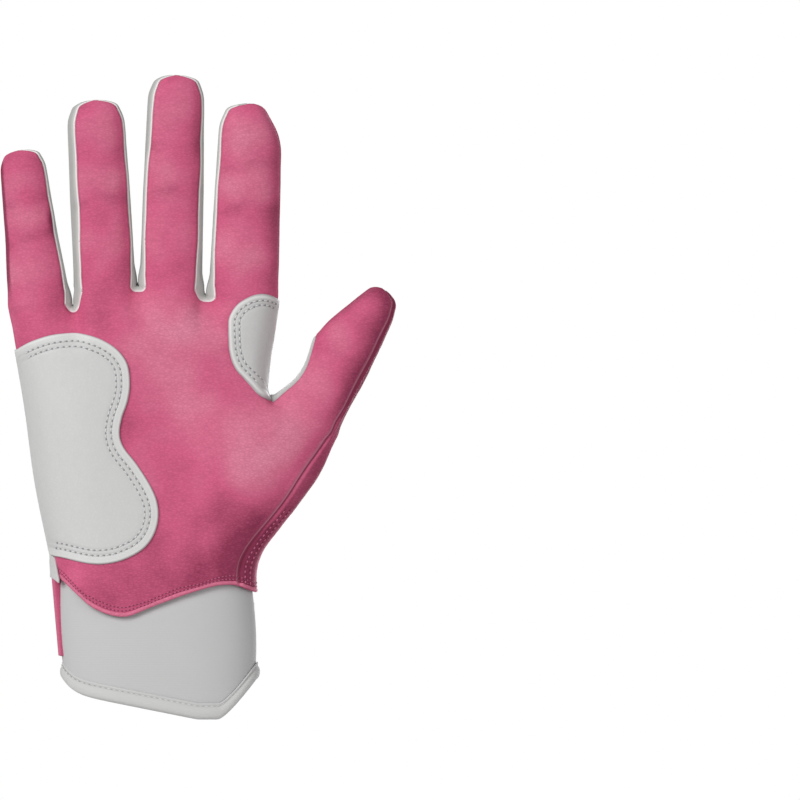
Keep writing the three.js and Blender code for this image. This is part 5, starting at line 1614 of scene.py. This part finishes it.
sits_on(gusset, "stretch_knit", "vent_gusset")
print("cuff: slit from turn", round(vent_thumb, 3), "to", round(vent_outer, 3))

# %% Binding tape and its stitches
BINDING_SECTION = (  # outwards, upwards
    (0.25, 6.3), (0.7, 6.35), (1.05, 6.05), (1.0, 5.5), (0.75, 5.1), (1.1, 4.6), (1.7, 3.6), (1.75, 2.0),
    (1.45, 0.8), (0.7, 0.2), (-0.3, 0.0), (-1.6, 0.0), (-2.5, 0.3), (-3.1, 1.0), (-3.25, 2.4), (-3.2, 4.5),
    (-2.9, 5.1), (-2.4, 5.2), (-2.35, 3.2), (-2.3, 1.0), (-1.0, 0.85), (0.2, 1.0), (0.25, 3.2),
)
GROOVE, GROOVE_SHADE, GROOVE_WIDTH, GROOVE_OUT = 5.1, 0.5, 0.2, 0.85
BACK_SECTIONS, FRONT_SECTIONS, JUST_ON_PALM = 50, 110, 1e-4
BINDING_PITCH, BINDING_ENDS = 2.2, 3
binding_turns = np.concatenate([
    np.linspace(vent_outer, 0, BACK_SECTIONS)[:-1], np.linspace(JUST_ON_PALM, 1, FRONT_SECTIONS)[:-1],
    np.linspace(-1, vent_thumb, BACK_SECTIONS)])
binding_points, binding_outs = cuff_point(binding_turns, cuff_low(binding_turns))
section = np.array(BINDING_SECTION)
rings = binding_points[:, None] + binding_outs[:, None] * section[None, :, :1]
rings[:, :, 2] += section[None, :, 1]
groove_shade = GROOVE_SHADE * bump(section[:, 1] - GROOVE, GROOVE_WIDTH) * (section[:, 0] > 0)
binding = tube("binding_tape", rings, BINDING_TAPE, False, {"shade": np.tile(groove_shade, len(rings))})
rounder = binding.modifiers.new("soft fold", "SUBSURF")
rounder.levels = rounder.render_levels = 1
sits_on(binding, "patch_leather", "cuff_binding")
sewn_turns = binding_turns[BINDING_ENDS:-BINDING_ENDS]
tape_line = cuff_point(sewn_turns, cuff_low(sewn_turns) + GROOVE, np.full(len(sewn_turns), GROOVE_OUT))
binding_stitches = stitched("binding_stitches", [tape_line], BINDING_PITCH, WHITE_THREAD, GREY_HOLE_SHADOW,
                            width=0.34, hole_width=0.3)
sits_on(binding_stitches, "patch_leather")
print("binding:", len(rings), "sections")

# %% [markdown]
# ## Wrist strap
# A webbing strap is sewn to the little finger's edge of the cuff, crosses the back over the slit and
# closes with hooks on loops. The real one bends at its root. Its pile is a second Geometry Nodes tree:
# short tufts scattered over the two patches.

# %% Strap and its anchor
STRAP_WEB, PILE, BACKING = 1.6, 1.0, 0.5
STRAP_HEIGHT, STRAP_BOTTOM, STRAP_FALL = 28.0, 24.0, 3.0
ANCHOR_TURN, ANCHOR_LAP, STRAP_END_TURN = 0.085, 0.069, 0.8
CLOSURE_TURNS, CLOSURE_MARGIN = (0.57, 0.74), 3.0
TAB_LENGTH, TAB_INSET = 9.0, 5.0
ANCHOR_TOP, ANCHOR_BULGE, ANCHOR_HEM_GAP, ANCHOR_PAD = 54.0, 0.8, 0.2, 1.2
ANCHOR_BULGE_FROM, ANCHOR_BULGE_FADE, ROOT_BEND = 0.2, 0.05, 0.06
# Stitches along both edges of the strap: how far in, how far from its end and its root, and how high.
STRAP_ROW, STRAP_ROW_END, STRAP_ROW_ROOT, STRAP_ROW_LIFT = 1.8, 0.01, 0.07, 0.05
STRAP_ROW_STEPS, STRAP_PITCH = 160, 2.6
anchor_rise = LAYER_GAP + STRAP_WEB
closure_rise = 3 * LAYER_GAP + 2 * PILE + STRAP_WEB


def strap_low(turn):
    return STRAP_BOTTOM - STRAP_FALL * np.abs(np.minimum(0, turn))


def strap_rise(turn, up=0.0):
    """Height over the cuff: low at the root, and over the closure from its first turn on."""
    return mix(anchor_rise, closure_rise, ease((-turn - ANCHOR_TURN) / (CLOSURE_TURNS[0] - ANCHOR_TURN)))


def strip(name, turns, inset, thickness, material, rise, steps=24):
    return cuff_band(name, turns, lambda t: strap_low(t) + inset,
                     lambda t: strap_low(t) + STRAP_HEIGHT - inset,
                     thickness, material, rise=rise, steps=steps, tiers=16)


def anchor_high(turn):
    return np.minimum(ANCHOR_TOP, cuff_high(turn) - CUFF_LAP - ANCHOR_HEM_GAP)


def anchor_lift(turn, up):
    bulge = ANCHOR_BULGE * (up - ANCHOR_BULGE_FROM)
    return anchor_rise + bulge * ease((turn + ANCHOR_TURN) / ANCHOR_BULGE_FADE)


anchor = cuff_band("strap_anchor_webbing", (-ANCHOR_TURN, ANCHOR_LAP), strap_low, anchor_high,
                   STRAP_WEB + ANCHOR_PAD, PINK_WEBBING, rise=anchor_lift, steps=24, tiers=16)
sits_on(anchor, "strap_web", "strap_anchor")
strap_turns = (-STRAP_END_TURN, -ANCHOR_TURN)
band = strip("wrist_strap_webbing", strap_turns, 0, STRAP_WEB, PINK_WEBBING, strap_rise, steps=90)
root_turns = np.array([-ANCHOR_TURN, -ANCHOR_TURN - ROOT_BEND])
root_heights = np.full(2, STRAP_BOTTOM + STRAP_HEIGHT / 2)
root, beyond = cuff_point(root_turns, root_heights, np.full(2, anchor_rise))[0]
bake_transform(band)
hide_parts("wrist_strap")
print("strap root:", [round(float(v), 1) for v in root])

# %% Pull tab, closure and strap stitches
tab_turns = (-STRAP_END_TURN - turn_of(TAB_LENGTH), -STRAP_END_TURN)
tab = strip("pull_tab_hide", tab_turns, TAB_INSET, STRAP_WEB, WHITE_LEATHER, closure_rise, steps=12)
sits_on(tab, "patch_leather", "pull_tab", body="strap")
backing_turns = (-CLOSURE_TURNS[1], -CLOSURE_TURNS[0])
loop_rise, hook_rise = LAYER_GAP + BACKING, closure_rise - STRAP_WEB - LAYER_GAP
loop_backing = strip("loop_patch_pile", backing_turns, CLOSURE_MARGIN, BACKING, NYLON_PILE, loop_rise)
sits_on(loop_backing, "closure_pile", "loop_patch")
hook_backing = strip("hook_patch_pile", backing_turns, CLOSURE_MARGIN, BACKING, NYLON_PILE, hook_rise)
sits_on(hook_backing, "closure_pile", "hook_patch", body="strap")
strap_edges = []
for up in (STRAP_ROW, STRAP_HEIGHT - STRAP_ROW):
    turns = np.linspace(-STRAP_END_TURN + STRAP_ROW_END, -ANCHOR_TURN - STRAP_ROW_ROOT, STRAP_ROW_STEPS)
    strap_edges.append(cuff_point(turns, strap_low(turns) + up, strap_rise(turns) + STRAP_ROW_LIFT))
strap_stitches = stitched("strap_stitches", strap_edges, STRAP_PITCH, WHITE_THREAD, PINK_HOLE_SHADOW, width=0.5,
                          hole_width=0.5)
sits_on(strap_stitches, "strap_web", body="strap")
print("strap stitches:", len(strap_stitches.data.polygons), "faces")

# %% Tufts of the pile
TUFT_TALL, TUFT_WIDE, TUFTS_PER_MM2, TUFT_SEED = 0.55, 0.42, 1.8, 7
# The ground that the tufts grow on: how far it is drawn in from its backing, and how far it lies off it.
GROUND_INSET, GROUND_SHARES, GROUND_LIFT, GROUND_GRID = 0.006, (0.04, 0.96), 0.2, (13, 25)


def tuft_tree():
    tree, entry = new_tree("pile of tufts", {
        "Ground": "Geometry", "Density": "Float", "Tall": "Float", "Wide": "Float", "Seed": "Int",
        "Yarn": "Material"}, "Pile")
    spots = put(tree, "GeometryNodeDistributePointsOnFaces",
                {"Mesh": entry["Ground"], "Density": entry["Density"], "Seed": entry["Seed"]}).outputs
    size = (entry["Wide"], entry["Wide"], entry["Tall"])
    tufts = set_beads(tree, spots["Points"], spots["Rotation"], size, entry["Yarn"], segments=6, rings=4)
    put(tree, "NodeGroupOutput", {"Pile": tufts})
    return tree


TUFTS = tuft_tree()
TUFT_GROUNDS = (
    ("loop_tufts", loop_rise + GROUND_LIFT, 1, "hand"),
    ("hook_tufts", hook_rise - BACKING - GROUND_LIFT, -1, "strap"),
)
for name, rise, side, body in TUFT_GROUNDS:
    first, last = backing_turns[0] + GROUND_INSET, backing_turns[1] - GROUND_INSET
    turn = np.linspace(first, last, GROUND_GRID[1])[None, :]
    share = np.linspace(*GROUND_SHARES, GROUND_GRID[0])[:, None]
    z = mix(strap_low(turn) + CLOSURE_MARGIN, strap_low(turn) + STRAP_HEIGHT - CLOSURE_MARGIN, share)
    points = cuff_point(turn + 0 * share, z, np.full(z.shape, rise))[0]
    ground = new_piece("pile ground", points.reshape(-1, 3), grid_quads(points)[:, ::side], NYLON_PILE)
    pile = grown(name, ground, TUFTS, {
        "Density": TUFTS_PER_MM2 / MM ** 2, "Tall": TUFT_TALL * MM, "Wide": TUFT_WIDE * MM, "Seed": TUFT_SEED,
        "Yarn": NYLON_PILE})
    sits_on(pile, "closure_pile", body=body)
    print(name, len(pile.data.polygons), "faces")

# %% [markdown]
# ## Light, floor and camera
# The photograph is a plain studio shot: straight on, very soft light from the front and above, and a
# white ground. A long lens far away keeps the fingers parallel. The white comes from the world, and
# only the camera and reflections see all of it, so it puts little light on the glove. The floor lies
# below the picture's frame and fades out towards its rim, so no edge of it shows from other sides.

# %% Camera
PHOTO_MM_PER_PIXEL = 0.38
PHOTO_SIZE = 800
FRAME_CENTRE = (91.2, 121.2)
CAMERA_FAR, SENSOR_WIDTH = 8000.0, 36.0
camera = bpy.data.objects.new("camera", bpy.data.cameras.new("camera"))
bpy.context.collection.objects.link(camera)
camera.location = (FRAME_CENTRE[0] * MM, -CAMERA_FAR * MM, FRAME_CENTRE[1] * MM)
camera.rotation_euler = (math.pi / 2, 0, 0)
camera.data.sensor_width = SENSOR_WIDTH
camera.data.lens = SENSOR_WIDTH * CAMERA_FAR / (PHOTO_SIZE * PHOTO_MM_PER_PIXEL)
bpy.context.scene.camera = camera
bpy.context.scene.view_settings.view_transform = "Standard"
print("lens:", round(camera.data.lens), "mm")

# %% Lamps
GLOVE_MIDDLE = Vector((0.005, 0.0, 0.125))


def softbox(name, place, size, share):
    """A square lamp that gives a white surface facing it this share of full brightness."""
    lamp = bpy.data.lights.new(name, "AREA")
    lamp.size = size
    far = (Vector(place) - GLOVE_MIDDLE).length
    lamp.energy = share * (math.pi * far) ** 2
    box = bpy.data.objects.new(name, lamp)
    bpy.context.collection.objects.link(box)
    box.location = place
    box.rotation_euler = (GLOVE_MIDDLE - Vector(place)).to_track_quat("-Z", "Y").to_euler()


softbox("key softbox", (-1.1, -1.3, 0.9), size=1.0, share=0.88)
softbox("fill softbox", (1.2, -1.0, 0.2), size=1.0, share=0.27)
softbox("rear softbox", (0.4, 1.6, 0.25), size=1.2, share=0.55)
print("lamps:", len(bpy.data.lights))

# %% World and floor
WORLD_LIGHT = 0.29
FLOOR_LEVEL, FLOOR_RADIUS, FLOOR_FADE, FLOOR_SIDES = -45.0, 380.0, (110.0, 370.0), 96
world = bpy.data.worlds.new("white studio")
bpy.context.scene.world = world
world.use_nodes = True
tree = world.node_tree
tree.nodes.clear()
rays = put(tree, "ShaderNodeLightPath").outputs
seen = put(tree, "ShaderNodeMath", {0: rays["Is Camera Ray"], 1: rays["Is Glossy Ray"]}, operation="MAXIMUM")
seen = put(tree, "ShaderNodeMath", {0: seen, 1: rays["Is Transmission Ray"]}, operation="MAXIMUM")
glow = put(tree, "ShaderNodeMapRange", {"Value": seen, "To Min": WORLD_LIGHT, "To Max": 1.0})
backdrop = put(tree, "ShaderNodeBackground", {"Color": (1, 1, 1, 1), "Strength": glow})
put(tree, "ShaderNodeOutputWorld", {"Surface": backdrop})

floor_material, tree = new_material("pale studio floor")
place = put(tree, "ShaderNodeTexCoord").outputs["Object"]
far = put(tree, "ShaderNodeVectorMath", {0: place}, operation="LENGTH").outputs["Value"]
fade = put(tree, "ShaderNodeMapRange", {
    "Value": far, "From Min": FLOOR_FADE[0] * MM, "From Max": FLOOR_FADE[1] * MM},
    interpolation_type="SMOOTHSTEP")
matt = put(tree, "ShaderNodeBsdfDiffuse", {"Color": linear("#F4F4F4")})
clear = put(tree, "ShaderNodeBsdfTransparent")
blend = put(tree, "ShaderNodeMixShader", {0: fade, 1: matt, 2: clear})
put(tree, "ShaderNodeOutputMaterial", {"Surface": blend})
floor_turns = np.linspace(0, 2 * math.pi, FLOOR_SIDES, endpoint=False)
floor_rim = [(FLOOR_RADIUS * math.cos(t), FLOOR_RADIUS * math.sin(t), FLOOR_LEVEL) for t in floor_turns]
floor = new_piece("floor", floor_rim, [range(FLOOR_SIDES)], floor_material)
print("floor at", FLOOR_LEVEL, "mm")
